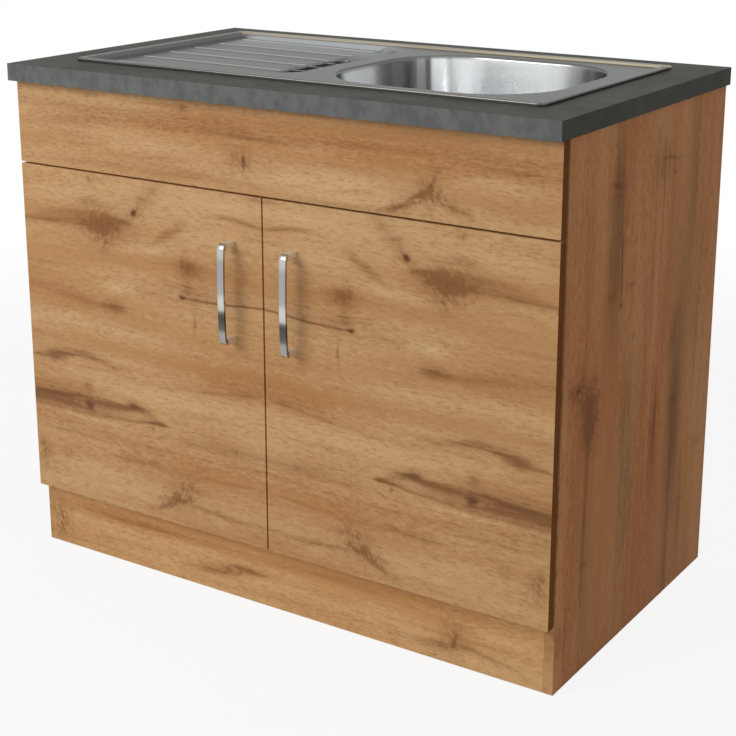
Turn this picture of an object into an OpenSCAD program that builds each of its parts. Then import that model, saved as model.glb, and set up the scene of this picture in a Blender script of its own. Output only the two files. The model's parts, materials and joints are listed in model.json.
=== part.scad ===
// Kitchen base cabinet: two doors, a fixed fascia, a worktop and an inset sink with drainer.
// X runs along the front, Y from front to back, Z up. Millimetres.
// The origin is at floor level, in the middle of the whole outline, handles included.

/* [Worktop] */
// Width of the worktop
top_w = 1000; // [960:1:1200]
// Depth of the worktop
top_d = 600; // [590:1:700]
// Thickness of the worktop
top_t = 28; // [22:1:40]
// Height of the worktop's upper face above the floor
height = 850; // [800:1:950]
// How far the worktop passes each side panel
side_overhang = 3; // [1:0.5:12]
// How far the worktop passes the door fronts
front_overhang = 16; // [4:1:30]
// How far the worktop passes the back of the carcass
back_overhang = 10; // [0:1:20]

/* [Carcass] */
// Thickness of every carcass board
board_t = 16; // [15:1:19]
// Height of the underside of the bottom panel above the floor
plinth_h = 110; // [80:1:150]
// Height of the two rear rails
rear_rail_h = 100; // [60:1:160]
// How far the front rail reaches below the top edge of the doors
rail_cover = 16; // [12:1:40]
// Thickness of the floor glides
glide_t = 2; // [1.5:0.5:5]
// Diameter of the floor glides
glide_d = 14; // [10:1:15]
// Distance of the floor glides from the front and rear edges of a side panel
glide_in = 50; // [30:1:120]

/* [Doors and fascia] */
// Thickness of doors and fascia
door_t = 16; // [16:1:19]
// Gap between the back of the doors and the front edges of the carcass
door_back_gap = 3.5; // [3.5:0.1:6]
// Gap between the two doors
door_split = 3; // [2:0.5:5]
// How far the outer edge of a door stays inside the side panel's outer face
door_inset = 1; // [0:0.5:3]
// Gap between plinth and doors
plinth_joint = 2; // [1:0.5:5]
// Height of the fascia
fascia_h = 133; // [120:1:160]
// Gap between fascia and doors
fascia_joint = 3; // [2:0.5:5]
// Gap between worktop and fascia
top_joint = 2; // [1:0.5:5]
// Diameter of the door bumpers
bumper_d = 8; // [6:1:10]

/* [Handles] */
// Overall length of a handle
handle_l = 160; // [120:1:220]
// Width of the handle bar
handle_w = 12; // [9:0.5:18]
// Thickness of the handle bar
handle_bar_t = 5; // [4:0.5:8]
// Thickness of a handle leg along the bar
handle_leg_t = 9; // [8:0.5:14]
// Distance from the door to the front of the bar at mid length
handle_stand = 32; // [26:0.5:45]
// How far the ends of the bar lie behind its middle
handle_bow = 2.5; // [0:0.5:5]
// Distance from the door's free edge to the middle of its handle
handle_in = 56.5; // [35:0.5:90]
// Distance from the top of the door to the top of its handle
handle_drop = 73; // [40:1:150]

/* [Hinges] */
// Diameter of the hinge cup and its bore
cup_d = 35; // [35:1:36]
// Material left between the cup bore and the door's edge
cup_edge = 4; // [4:0.25:4.5]
// Depth of the cup bore
cup_depth = 12.5; // [12.5:0.1:13]
// Sheet thickness of the cup
cup_wall = 0.8; // [0.6:0.1:0.9]
// Width of the pressed rim round the mouth of the cup
cup_rim = 1.4; // [1:0.1:2]
// Height of the cup's flange above the back of the door
flange_t = 1.1; // [0.8:0.1:1.3]
// Distance from the door's edge to the hinge pin
pivot_in = 8; // [7.8:0.1:8.2]
// Distance from the door's front to the hinge pin
pivot_deep = 6.8; // [6.7:0.1:6.9]
// Diameter of the hinge pin
pin_d = 2.4; // [2:0.1:2.6]
// Diameter of the arm's eye round the pin
eye_d = 4; // [3.8:0.1:4.2]
// Width of the arm's neck, which is also the length of its eye
neck_w = 6.4; // [5:0.2:7]
// Thickness of the neck where it leaves the cup
neck_t = 3.4; // [2.8:0.2:4]
// Distance from the pin to the inner face of the neck
neck_reach = 11; // [10.9:0.1:11.4]
// Width of the arm's channel
arm_w = 15; // [13:0.5:18]
// Length of the arm's channel
arm_l = 62; // [56:1:75]
// Sheet thickness of the arm's channel
arm_t = 1.2; // [1:0.1:1.5]
// Distance from the side panel's front edge to the mounting screws of the plate
plate_set = 37; // [34:0.5:40]
// Distance between the two mounting screws of a plate
plate_pitch = 32; // [28:1:40]
// Thickness of the plate's wings
plate_t = 2; // [1.5:0.1:3]
// Distance from the end of a door to the middle of its hinge
hinge_from_end = 90; // [70:1:140]

/* [Sink] */
// Width of the sink
sink_w = 860; // [820:1:900]
// Depth of the sink
sink_d = 450; // [435:1:480]
// Distance from the worktop's front edge to the sink
sink_front = 84; // [60:1:95]
// Corner radius of the sink
sink_r = 12; // [8:1:25]
// Sheet thickness of the sink
sheet_t = 0.8; // [0.6:0.1:1.2]
// Width of the raised border
border_w = 17; // [15:1:24]
// Height of the raised border above the worktop
border_h = 5; // [4:0.5:8]
// Height of the deck inside the border above the worktop
deck_h = 1.8; // [1.4:0.1:3]
// Length of the bowl's opening along the front
bowl_w = 376; // [340:1:400]
// Length of the bowl's opening from front to back
bowl_d = 356; // [320:1:370]
// Corner radius of the bowl's opening
bowl_r = 120; // [90:1:140]
// Distance from the right end of the sink to the bowl
bowl_right = 49; // [40:1:60]
// Distance from the front of the sink to the bowl
bowl_front = 42; // [38:1:60]
// Depth of the bowl below the deck
bowl_depth = 155; // [130:1:190]
// How far the bowl's wall leans in from its opening to its floor
bowl_lean = 8; // [3:1:20]
// Radius between the bowl's wall and its floor
bowl_floor_r = 30; // [15:1:45]
// Radius of the edge between deck and bowl
bowl_lip_r = 5; // [2:0.5:8]
// Length of the drainer recess along the front
drainer_w = 372; // [340:1:376]
// Margin between the ends of the sink and the drainer recess
drainer_margin = 24; // [22:1:34]
// Margin between the front and back of the sink and the drainer recess
drainer_side = 30; // [25:1:50]
// Length of the slanted corners of the drainer recess
drainer_corner = 58; // [30:1:80]
// Depth of the drainer recess at its outer end
drainer_high = 5; // [4:0.5:8]
// Fall of the drainer towards the bowl
drainer_fall = 3; // [1:0.5:5]
// How far the drainer's sloped walls lean in
drainer_lean = 8; // [4:1:14]
// Number of ribs on the drainer
rib_count = 6; // [4:1:9]
// Height of the ribs
rib_h = 1.6; // [1:0.1:2.5]
// Radius of the ribs' crown
rib_r = 3; // [2.6:0.1:5]
// Length of the overflow trough
trough_l = 186; // [120:1:200]
// Width of the overflow trough
trough_w = 26; // [16:0.5:28]
// Gap between the overflow trough and the drainer's wall beside the bowl
trough_gap = 25; // [8:1:32]
// Depth of the overflow trough below the drainer
trough_deep = 7; // [5:0.5:10]
// Width of the slots in the trough's floor
trough_slot_w = 6; // [4:0.2:9]
// Number of slots in the trough's floor
trough_slots = 4; // [2:1:5]
// How far the worktop's cut-out lies inside the sink's edge
cutout_in = 13; // [12:0.5:14]
// Width of the sealing strip under the border
seal_w = 6; // [4:0.5:8]

/* [Waste and overflow] */
// Diameter of the hole in the bowl's floor
drain_d = 90; // [85:1:95]
// Width of the strainer's flange round that hole
strainer_lap = 11; // [8:1:15]
// Depth of the strainer
strainer_deep = 32; // [28:1:45]
// Sheet thickness of strainer and basket
strainer_t = 1; // [0.8:0.1:1.5]
// Gap between basket and strainer
basket_gap = 3; // [2:0.5:5]
// Depth of the basket
basket_deep = 20; // [14:1:22]
// Wall of the plastic waste body
waste_wall = 3; // [2.5:0.1:4]
// Outer diameter of the waste outlet's thread
outlet_d = 47.8; // [47.8:0.1:60]
// Length of the waste outlet
outlet_l = 24; // [18:1:40]
// Outer diameter of the overflow pipe
pipe_d = 20; // [18:1:24]
// Wall of the overflow pipe
pipe_wall = 2; // [1.5:0.1:2.5]
// Bend radius of the overflow pipe
pipe_bend = 32; // [28:1:45]

/* [Fixings] */
// Diameter of the wooden dowels
dowel_d = 8; // [6:1:8]
// Length of the wooden dowels
dowel_l = 30; // [25:1:35]
// Diameter of the cam discs
cam_d = 15; // [12:1:15]
// Thickness of the cam discs
cam_t = 12; // [11:0.5:12.5]
// Distance from the end of a board to the middle of its cam disc
cam_in = 34; // [24:1:36]
// Diameter of the cam bolts
cam_bolt_d = 6; // [5:0.5:7]
// Depth of a hole for a dowel or cam bolt in a side panel
side_hole_deep = 11; // [10:0.5:12]
// Clearance of a fixing in its hole
fit = 0.15; // [0.1:0.05:0.3]
// Leg length of the worktop brackets
bracket_leg = 24; // [20:1:32]
// Width of the worktop brackets
bracket_w = 18; // [14:1:30]
// Thickness of brackets and clips
bracket_t = 1.6; // [1.2:0.1:2.5]

/* [Hidden] */
$fn = 48;

oak = [0.74, 0.57, 0.39];
slate = [0.31, 0.31, 0.28];
steel = [0.62, 0.62, 0.61];
chrome = [0.78, 0.78, 0.80];
zinc = [0.70, 0.71, 0.73];
white_plastic = [0.88, 0.88, 0.86];
black_rubber = [0.10, 0.10, 0.10];
beech = [0.85, 0.72, 0.52];

// Levels, from the floor up
carcass_top = height - top_t;
bottom_z = plinth_h;
bottom_top = bottom_z + board_t;
door_z0 = plinth_h + plinth_joint;
fascia_z1 = carcass_top - top_joint;
fascia_z0 = fascia_z1 - fascia_h;
door_z1 = fascia_z0 - fascia_joint;
front_rail_z0 = door_z1 - rail_cover;
front_rail_h = carcass_top - front_rail_z0;

// Depths, from the handles back
front_reach = max(0, handle_stand - front_overhang);
total_d = top_d + front_reach;
top_y0 = front_reach - total_d / 2;
top_y1 = total_d / 2;
door_y0 = top_y0 + front_overhang;
door_y1 = door_y0 + door_t;
carcass_y0 = door_y1 + door_back_gap;
carcass_y1 = top_y1 - back_overhang;

// Widths, from the middle outwards
side_out = top_w / 2 - side_overhang;
side_in = side_out - board_t;
door_out = side_out - door_inset;

// Hinge: u runs in from the door's outer edge, v back from the door's front
pivot_x = door_out - pivot_in;
pivot_y = door_y0 + pivot_deep;
cup_u = cup_edge + cup_d / 2;
cup_face_v = door_t - pivot_deep;
hinge_zs = [door_z0 + hinge_from_end, door_z1 - hinge_from_end];
hinge_side_u = board_t - door_inset - pivot_in;
hinge_side_v = door_t + door_back_gap - pivot_deep;
pin_l = 15;
neck_bend = 4;
arm_play = 0.4;
arm_u1 = neck_reach + neck_t;
arm_gap = 1.5;
arm_v0 = hinge_side_v + arm_gap;
arm_screw_back = 6;
arm_screw_front = 20;
plate_v = hinge_side_v + plate_set;
ridge_u1 = arm_u1 - arm_t;
ridge_play = 0.2;
ridge_w = arm_w - 2 * (arm_t + ridge_play);
ridge_l = 44;
ridge_back = 14;
ridge_v0 = plate_v + ridge_back - ridge_l;
wing_half = 9;
wing_end = 8;
flange_pitch = 48;
flange_screw_u = 9.5;
flange_ear_d = 13;

// Handles
handle_x = door_split / 2 + handle_in;
handle_z0 = door_z1 - handle_drop - handle_l;
handle_corner_r = 8;
handle_inner = 3;
handle_leg_zs = [handle_z0 + handle_leg_t / 2, handle_z0 + handle_l - handle_leg_t / 2];
bumper_in = 14;

// Sink: its own middle, and the levels of its sheet
sink_x = 0;
sink_y = top_y0 + sink_front + sink_d / 2;
cutout_w = sink_w - 2 * cutout_in;
cutout_d = sink_d - 2 * cutout_in;
cutout_r = 8;
rim_gap = 0.3;
border_slope = 4;
pocket_r = 3;
seal_in = 3;
deck_z = height + deck_h;
bowl_x = sink_w / 2 - bowl_right - bowl_w / 2;
bowl_y = bowl_front + bowl_d / 2 - sink_d / 2;
floor_z = deck_z - bowl_depth;
drainer_x0 = drainer_margin - sink_w / 2;
drainer_x1 = drainer_x0 + drainer_w;
drainer_y1 = sink_d / 2 - drainer_side;
drainer_corner_r = 6;
drainer_angle = atan(drainer_fall / (drainer_w - 2 * drainer_lean));
trough_x = drainer_x1 - drainer_lean - trough_w / 2 - trough_gap;
trough_y = -38;
trough_z = deck_z - drainer_high - drainer_fall - trough_deep;
rib_start = 14;
rib_end = 10;
rib_side = 17;
rib_x0 = drainer_x0 + drainer_lean + rib_start;
rib_l = trough_x - trough_w / 2 - rib_end - rib_x0;
rib_pitch = 2 * (drainer_y1 - drainer_lean - rib_side) / (rib_count - 1);

// Waste and overflow
drain_x = sink_x + bowl_x;
drain_y = sink_y + bowl_y;
strainer_play = 1.5;
strainer_r = drain_d / 2 - strainer_play;
strainer_z0 = floor_z - strainer_deep;
ledge_w = 7;
ledge_deep = 8;
ledge_r = strainer_r - ledge_w;
ledge_z = floor_z - ledge_deep;
seal_ring_t = 2;
basket_r = strainer_r - basket_gap;
basket_z = ledge_z + seal_ring_t + strainer_t;
gasket_t = 3;
waste_top = floor_z - sheet_t - gasket_t;
waste_play = 2;
waste_r = strainer_r + strainer_t + waste_play + waste_wall;
chamber_h = 27;
waste_z0 = strainer_z0 - chamber_h;
waste_bolt = [6, 34, 12, 3];
outlet_z0 = waste_z0 - outlet_l;
outlet_wall = 4;
outlet_r = outlet_d / 2 - outlet_wall;
pipe_z = waste_z0 + pipe_d / 2 + waste_wall;
spigot_d = pipe_d - 2 * pipe_wall - 2 * fit;
spigot_l = 14;
inlet_x = waste_r + spigot_l;
channel_wall = 2;
channel_play = 0.5;
channel_w = trough_w + 2 * (sheet_t + channel_play + channel_wall);
channel_l = trough_l + 2 * (sheet_t + channel_play + channel_wall);
channel_x = sink_x + trough_x;
channel_y = sink_y + trough_y;
channel_z1 = trough_z + trough_deep - sheet_t - rim_gap;
channel_below = 12;
channel_z0 = channel_z1 - trough_deep - channel_below;

// Places of the fixings between a side panel and the boards that meet it: [y, z]
rail_mid_y = carcass_y0 + board_t / 2;
rear_mid_y = carcass_y1 - board_t / 2;
rear_bottom_z0 = bottom_top;
clip_hang = 12;
clip_z = carcass_top - clip_hang;
clip_clear = 2;
clip_screw = [4, 16, 10, 3];
// The rear rail lies below the heads of the clips' screws
rear_top_z0 = carcass_top - clip_screw[1] - clip_screw[3] - clip_clear - rear_rail_h;
bottom_mid_z = bottom_z + board_t / 2;
rail_end = 24;
bolt_end = 3;
bolt_from_edge = 60;
dowel_from_edge = 124;
fixing_in_side = side_hole_deep - fit;
dowel_places = concat(
    [for (y = [carcass_y0 + dowel_from_edge, carcass_y1 - dowel_from_edge]) [y, bottom_mid_z]],
    [for (z = [glide_t + rail_end, bottom_z - rail_end]) [rail_mid_y, z]],
    [for (z = [front_rail_z0 + rail_end, carcass_top - rail_end]) [rail_mid_y, z]],
    [[rear_mid_y, rear_top_z0 + rail_end], [rear_mid_y, rear_bottom_z0 + rail_end]]
);
// The third value turns a cam disc towards the face that it is sunk into
cam_places = concat(
    [for (y = [carcass_y0 + bolt_from_edge, carcass_y1 - bolt_from_edge]) [y, bottom_mid_z, [180, 0, 0]]],
    [[rail_mid_y, front_rail_z0 + front_rail_h / 2, [-90, 0, 0]]],
    [for (z = [rear_top_z0, rear_bottom_z0]) [rear_mid_y, z + rear_rail_h - rail_end, [90, 0, 0]]]
);

// Screws: [shank diameter, length, head diameter, head height]
chip_screw = [3, 11, 6.5, 2];
cup_screw = [3, 10, 6.5, 2];
long_screw = [3.5, 28, 7, 2.4];
handle_screw = [4, 22, 8, 2.2];
arm_screw = [5, 7, 8, 2];
fascia_screw_xs = [for (s = [-1, -1 / 3, 1 / 3, 1]) s * (side_in - 60)];
fascia_screw_z = (fascia_z0 + fascia_z1) / 2;
spacer_d = 20;
glide_pin_d = 2.5;
glide_pin_l = 10;
bracket_ys = [carcass_y0 + 70, carcass_y1 - 70];
clip_xs = [for (s = [-1, -1 / 3, 1 / 3, 1]) s * (sink_w / 2 - 70)];
clip_w = 14;
clip_off = 2.5;
clip_foot = 18;
clip_screw_out = 11;

// Points of a circular arc
function arc(c, r, from, to, n = 8) =
    [for (i = [0 : n]) let (a = from + (to - from) * i / n) c + r * [cos(a), sin(a)]];

// A strip of even thickness t on the left of an open path
function unit(v) = v / norm(v);
function left_of(v) = [-v[1], v[0]];
function mitre(p, i) = let (
    last = len(p) - 1,
    before = left_of(unit(p[max(i, 1)] - p[max(i, 1) - 1])),
    after = left_of(unit(p[min(i + 1, last)] - p[min(i, last - 1)])),
    n = unit(before + after)
) n / (n * before);
function strip(p, t) = concat(p, [for (i = [len(p) - 1 : -1 : 0]) p[i] + t * mitre(p, i)]);

// A box from its low corner to its high corner
module block(low, high) {
    translate(low) cube(high - low);
}

// Rounded rectangle in the plane, about the origin
module round_rect(w, d, r) {
    square([w - 2 * r, d], center = true);
    square([w, d - 2 * r], center = true);
    for (x = [-1, 1], y = [-1, 1]) translate([x * (w / 2 - r), y * (d / 2 - r)]) circle(r = r);
}

// Carries a section round a rounded rectangle; the section's x is measured from the corner's centre
module sweep_round(w, d, r) {
    dx = w / 2 - r;
    dy = d / 2 - r;
    for (c = [[1, 1, 0], [-1, 1, 90], [-1, -1, 180], [1, -1, 270]])
        translate([c[0] * dx, c[1] * dy, 0]) rotate(c[2]) rotate_extrude(angle = 90) children();
    for (a = [0, 180]) rotate(a) translate([dx, dy, 0]) rotate([90, 0, 0]) linear_extrude(2 * dy) children();
    for (a = [90, 270]) rotate(a) translate([dy, dx, 0]) rotate([90, 0, 0]) linear_extrude(2 * dx) children();
}

// Screw along +Z with its tip at the origin and its head above its length
module screw(s) {
    cylinder(d1 = s[0] * 0.45, d2 = s[0], h = s[0]);
    translate([0, 0, s[0]]) cylinder(d = s[0], h = s[1] - s[0]);
    difference() {
        translate([0, 0, s[1]]) rotate_extrude()
            polygon([[0, 0], [s[2] / 2, 0], [s[2] / 2, s[3] * 0.45], [s[2] * 0.32, s[3]], [0, s[3]]]);
        for (a = [0, 90]) translate([0, 0, s[1] + s[3]]) rotate(a)
            cube([s[2] * 0.52, s[0] * 0.24, s[3]], center = true);
    }
}

// Hole for such a screw, from just past its tip to just past the face under its head
module screw_bore(s) {
    translate([0, 0, -fit]) cylinder(d = s[0] + 2 * fit, h = s[1] + 2 * fit);
}

// Both mirror images of a thing drawn on the right side
module both_sides() {
    children();
    mirror([1, 0, 0]) children();
}

// Right side's hinges: there x is u and y is v, both measured from the pin
module at_hinges() {
    for (z = hinge_zs) translate([pivot_x, pivot_y, z]) mirror([1, 0, 0]) children();
}

// Places of the screws: a child is drawn along +Z, its tip at the origin
module at_cup_screws() {
    for (z = [-1, 1]) translate([cup_u + flange_screw_u - pivot_in, cup_face_v + flange_t - cup_screw[1],
        z * flange_pitch / 2]) rotate([-90, 0, 0]) children();
}

module at_plate_screws() {
    for (z = [-1, 1]) translate([hinge_side_u + plate_t - chip_screw[1], plate_v, z * plate_pitch / 2])
        rotate([0, 90, 0]) children();
}

module at_arm_screws() {
    for (v = [plate_v + arm_screw_back, plate_v - arm_screw_front]) translate([arm_u1 - arm_screw[1], v, 0]) rotate([0, 90, 0]) children();
}

module at_bracket_side_screws() {
    for (y = bracket_ys) translate([side_in - bracket_t + chip_screw[1], y, carcass_top - bracket_leg * 0.6])
        rotate([0, -90, 0]) children();
}

module at_bracket_top_screws() {
    for (y = bracket_ys) translate([side_in - bracket_leg * 0.6, y, carcass_top - bracket_t + chip_screw[1]])
        rotate([180, 0, 0]) children();
}

module at_fascia_screws() {
    for (x = fascia_screw_xs) translate([x, carcass_y0 + board_t - long_screw[1], fascia_screw_z])
        rotate([-90, 0, 0]) children();
}

module at_handle_screws() {
    for (z = handle_leg_zs) translate([handle_x, door_y1 - handle_screw[1], z]) rotate([-90, 0, 0]) children();
}

// The clips along the front and the rear edge of the cut-out, drawn at the rear edge
module at_clips() {
    for (x = clip_xs, a = [0, 180]) translate([sink_x, sink_y, 0]) rotate(a) translate([x, cutout_d / 2, 0])
        children();
}

// Floor glides on the right side
module at_glides() {
    for (y = [carcass_y0 + glide_in, carcass_y1 - glide_in]) translate([side_out - board_t / 2, y, 0]) children();
}

// Dowels between the right side panel and the boards that meet it; a gap makes their holes
module dowels(gap = 0) {
    for (p = dowel_places) translate([side_in + fixing_in_side - dowel_l - gap, p[0], p[1]]) rotate([0, 90, 0])
        cylinder(d = dowel_d + 2 * gap, h = dowel_l + 2 * gap);
}

// Bolts that the cam discs draw in
module bolts(gap = 0) {
    for (p = cam_places) translate([side_in - cam_in + bolt_end - gap, p[0], p[1]]) rotate([0, 90, 0])
        cylinder(d = cam_bolt_d + 2 * gap, h = cam_in - bolt_end + fixing_in_side + 2 * gap);
}

// Cam discs, sunk into the board's hidden face
module cams(gap = 0) {
    for (p = cam_places) translate([side_in - cam_in, p[0], p[1]]) rotate(p[2])
        translate([0, 0, board_t / 2 - cam_t - gap]) cylinder(d = cam_d + 2 * gap, h = cam_t + 3 * gap);
}

// All holes of the carcass joints on the right side
module joint_holes() {
    dowels(fit);
    bolts(fit);
    cams(fit);
}

// Side panel on the right
module side_panel() {
    difference() {
        block([side_in, carcass_y0, glide_t], [side_out, carcass_y1, carcass_top]);
        dowels(fit);
        bolts(fit);
        at_hinges() at_plate_screws() screw_bore(chip_screw);
        at_bracket_side_screws() screw_bore(chip_screw);
        at_glides() translate([0, 0, glide_t - fit]) cylinder(d = glide_pin_d + 2 * fit, h = glide_pin_l + 2 * fit);
    }
}

module side_panel_left() {
    color(oak) mirror([1, 0, 0]) side_panel();
}

module side_panel_right() {
    color(oak) side_panel();
}

module bottom_panel() {
    color(oak) difference() {
        block([-side_in, carcass_y0, bottom_z], [side_in, carcass_y1, bottom_top]);
        both_sides() joint_holes();
    }
}

module plinth_board() {
    color(oak) difference() {
        block([-side_in, carcass_y0, glide_t], [side_in, carcass_y0 + board_t, bottom_z]);
        both_sides() dowels(fit);
    }
}

module front_rail() {
    color(oak) difference() {
        block([-side_in, carcass_y0, front_rail_z0], [side_in, carcass_y0 + board_t, carcass_top]);
        both_sides() joint_holes();
        at_fascia_screws() screw_bore(long_screw);
    }
}

module rear_top_rail() {
    color(oak) difference() {
        block([-side_in, carcass_y1 - board_t, rear_top_z0], [side_in, carcass_y1, rear_top_z0 + rear_rail_h]);
        both_sides() joint_holes();
    }
}

module rear_bottom_rail() {
    color(oak) difference() {
        block([-side_in, carcass_y1 - board_t, bottom_top], [side_in, carcass_y1, bottom_top + rear_rail_h]);
        both_sides() joint_holes();
    }
}

// Nail-on glides: a disc with a pin that is driven into the panel's lower edge
module floor_glides() {
    color(white_plastic) both_sides() at_glides() {
        cylinder(d1 = glide_d - 1, d2 = glide_d, h = glide_t);
        translate([0, 0, glide_t]) cylinder(d = glide_pin_d, h = glide_pin_l);
    }
}

module wood_dowels() {
    color(beech) both_sides() dowels();
}

module cam_bolts() {
    color(zinc) both_sides() bolts();
}

// The bolt's head enters each disc from the side; a cross slot turns the disc
module cam_discs() {
    color(zinc) both_sides() difference() {
        cams();
        bolts(fit);
        for (p = cam_places, a = [0, 90]) translate([side_in - cam_in, p[0], p[1]]) rotate(p[2]) rotate([0, 0, a])
            translate([0, 0, board_t / 2]) cube([cam_d * 0.6, 1.6, 4], center = true);
    }
}

module fascia_panel() {
    color(oak) difference() {
        block([-door_out, door_y0, fascia_z0], [door_out, door_y1, fascia_z1]);
        at_fascia_screws() screw_bore(long_screw);
    }
}

module fascia_spacers() {
    color(white_plastic) for (x = fascia_screw_xs) translate([x, carcass_y0, fascia_screw_z]) rotate([90, 0, 0])
        difference() {
            cylinder(d = spacer_d, h = door_back_gap);
            translate([0, 0, -1]) cylinder(d = long_screw[0] + 2 * fit, h = door_back_gap + 2);
        }
}

module fascia_screws() {
    color(zinc) at_fascia_screws() screw(long_screw);
}

module worktop() {
    color(slate) difference() {
        block([-top_w / 2, top_y0, carcass_top], [top_w / 2, top_y1, height]);
        translate([sink_x, sink_y, carcass_top - 1]) linear_extrude(top_t + 2)
            round_rect(cutout_w, cutout_d, cutout_r);
        both_sides() at_bracket_top_screws() screw_bore(chip_screw);
    }
}

module worktop_brackets() {
    color(zinc) both_sides() difference() {
        for (y = bracket_ys) {
            block([side_in - bracket_t, y - bracket_w / 2, carcass_top - bracket_leg],
                [side_in, y + bracket_w / 2, carcass_top]);
            block([side_in - bracket_leg, y - bracket_w / 2, carcass_top - bracket_t],
                [side_in, y + bracket_w / 2, carcass_top]);
        }
        at_bracket_side_screws() screw_bore(chip_screw);
        at_bracket_top_screws() screw_bore(chip_screw);
    }
}

module worktop_screws() {
    color(zinc) both_sides() {
        at_bracket_side_screws() screw(chip_screw);
        at_bracket_top_screws() screw(chip_screw);
    }
}

// Corners of the drainer recess: square at its outer end, slanted towards the bowl
function drainer_corners(lean) = let (
    x0 = drainer_x0 + lean + drainer_corner_r,
    x1 = drainer_x1 - lean - drainer_corner_r,
    y1 = drainer_y1 - lean - drainer_corner_r,
    c = drainer_corner - drainer_corner_r / 2
) [[x0, -y1], [x1 - c, -y1], [x1, -y1 + c], [x1, y1 - c], [x1 - c, y1], [x0, y1]];

// Height of the recess floor at x
function drainer_z(x) = deck_z - drainer_high - (x - drainer_x0 - drainer_lean) * tan(drainer_angle);

// The recess as a solid: grown by the sheet's thickness it is the sheet's outside
module drainer_form(grow) {
    hull() {
        for (p = drainer_corners(0)) translate([p[0], p[1], deck_z - grow]) cylinder(r = drainer_corner_r + grow,
            h = 0.3, $fn = 32);
        for (p = drainer_corners(drainer_lean)) translate([p[0], p[1], drainer_z(p[0]) - grow])
            cylinder(r = drainer_corner_r + grow, h = 0.1, $fn = 32);
    }
}

// Segment of a circle that stands on the drainer's floor
module rib_section() {
    intersection() {
        translate([0, rib_h - rib_r]) circle(r = rib_r);
        translate([-rib_r, 0]) square([2 * rib_r, rib_r]);
    }
}

// One pressed rib along +X with round ends
module rib() {
    rotate([90, 0, 90]) linear_extrude(rib_l) rib_section();
    for (x = [0, rib_l]) translate([x, 0, 0]) rotate_extrude() intersection() {
        rib_section();
        square([rib_r, rib_r]);
    }
}

module ribs() {
    translate([rib_x0, 0, drainer_z(rib_x0) - sheet_t / 3]) rotate([0, drainer_angle, 0])
        for (i = [0 : rib_count - 1]) translate([0, (i - (rib_count - 1) / 2) * rib_pitch, 0]) rib();
}

// Section of the bowl from the deck down its wall to the middle of a corner
bowl_lean_angle = atan(bowl_lean / bowl_depth);
bowl_path = concat(
    arc([bowl_r + bowl_lip_r, deck_z - bowl_lip_r], bowl_lip_r, 90, 180 - bowl_lean_angle),
    arc([bowl_r - bowl_lean - bowl_floor_r, floor_z + bowl_floor_r], bowl_floor_r, -bowl_lean_angle, -90, 12),
    [[0, floor_z]]
);

module bowl_sheet() {
    sweep_round(bowl_w, bowl_d, bowl_r) polygon(strip(bowl_path, sheet_t));
    translate([0, 0, floor_z - sheet_t / 2]) cube([bowl_w - 2 * bowl_r, bowl_d - 2 * bowl_r, sheet_t], center = true);
}

// The rim's plate, hollow below: a raised border round a lower deck
module rim_plate() {
    inset = border_w - border_slope;
    difference() {
        hull() {
            translate([0, 0, height + rim_gap]) linear_extrude(border_h - rim_gap - 1) round_rect(sink_w, sink_d, sink_r);
            translate([0, 0, height + border_h - 0.1]) linear_extrude(0.1)
                round_rect(sink_w - 2, sink_d - 2, sink_r - 1);
        }
        hull() {
            translate([0, 0, height + border_h]) linear_extrude(0.1)
                round_rect(sink_w - 2 * inset, sink_d - 2 * inset, pocket_r);
            translate([0, 0, deck_z]) linear_extrude(0.1)
                round_rect(sink_w - 2 * border_w, sink_d - 2 * border_w, pocket_r);
        }
        translate([0, 0, height - 1]) linear_extrude(border_h - sheet_t + 1) difference() {
            round_rect(sink_w - 2 * sheet_t, sink_d - 2 * sheet_t, sink_r - sheet_t);
            round_rect(sink_w - 2 * inset, sink_d - 2 * inset, pocket_r);
        }
        translate([0, 0, height - 1]) linear_extrude(deck_h - sheet_t + 1)
            round_rect(sink_w - 2 * inset - 1, sink_d - 2 * inset - 1, pocket_r);
    }
}

// Hollow of the overflow trough, or with grow its sheet's outside
module trough_form(grow) {
    translate([trough_x, trough_y, trough_z - grow]) linear_extrude(trough_deep + grow - 0.2)
        round_rect(trough_w + 2 * grow, trough_l + 2 * grow, trough_w / 2 - 1 + grow);
}

module trough_slots() {
    pitch = (trough_l - trough_w) / trough_slots;
    for (i = [0 : trough_slots - 1])
        translate([trough_x, trough_y + (i - (trough_slots - 1) / 2) * pitch, trough_z - 2 * sheet_t])
            linear_extrude(3 * sheet_t) round_rect(trough_slot_w, pitch - 8, trough_slot_w / 2 - 0.1);
}

// Thin bridges across the trough, level with the drainer
module trough_bridges() {
    for (i = [-1 : 1]) translate([trough_x - trough_w / 2 - 0.4, trough_y + i * trough_l / 4 - 1, trough_z + trough_deep - 1])
        cube([trough_w + 0.8, 2, 1.2]);
}

// Pressed from one sheet: border, deck, drainer with ribs and trough, and bowl
module sink() {
    color(steel) translate([sink_x, sink_y, 0]) {
        difference() {
            union() {
                difference() {
                    rim_plate();
                    translate([bowl_x, bowl_y, height]) linear_extrude(border_h)
                        round_rect(bowl_w + 2 * bowl_lip_r, bowl_d + 2 * bowl_lip_r, bowl_r + bowl_lip_r);
                }
                translate([bowl_x, bowl_y, 0]) bowl_sheet();
                drainer_form(sheet_t);
                trough_form(sheet_t);
            }
            drainer_form(0);
            trough_form(0);
            translate([trough_x, trough_y, trough_z + trough_deep - 1]) linear_extrude(2)
                round_rect(trough_w, trough_l, trough_w / 2 - 1);
            trough_slots();
            translate([bowl_x, bowl_y, floor_z - 2]) cylinder(d = drain_d, h = 4);
        }
        ribs();
        trough_bridges();
    }
}

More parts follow.
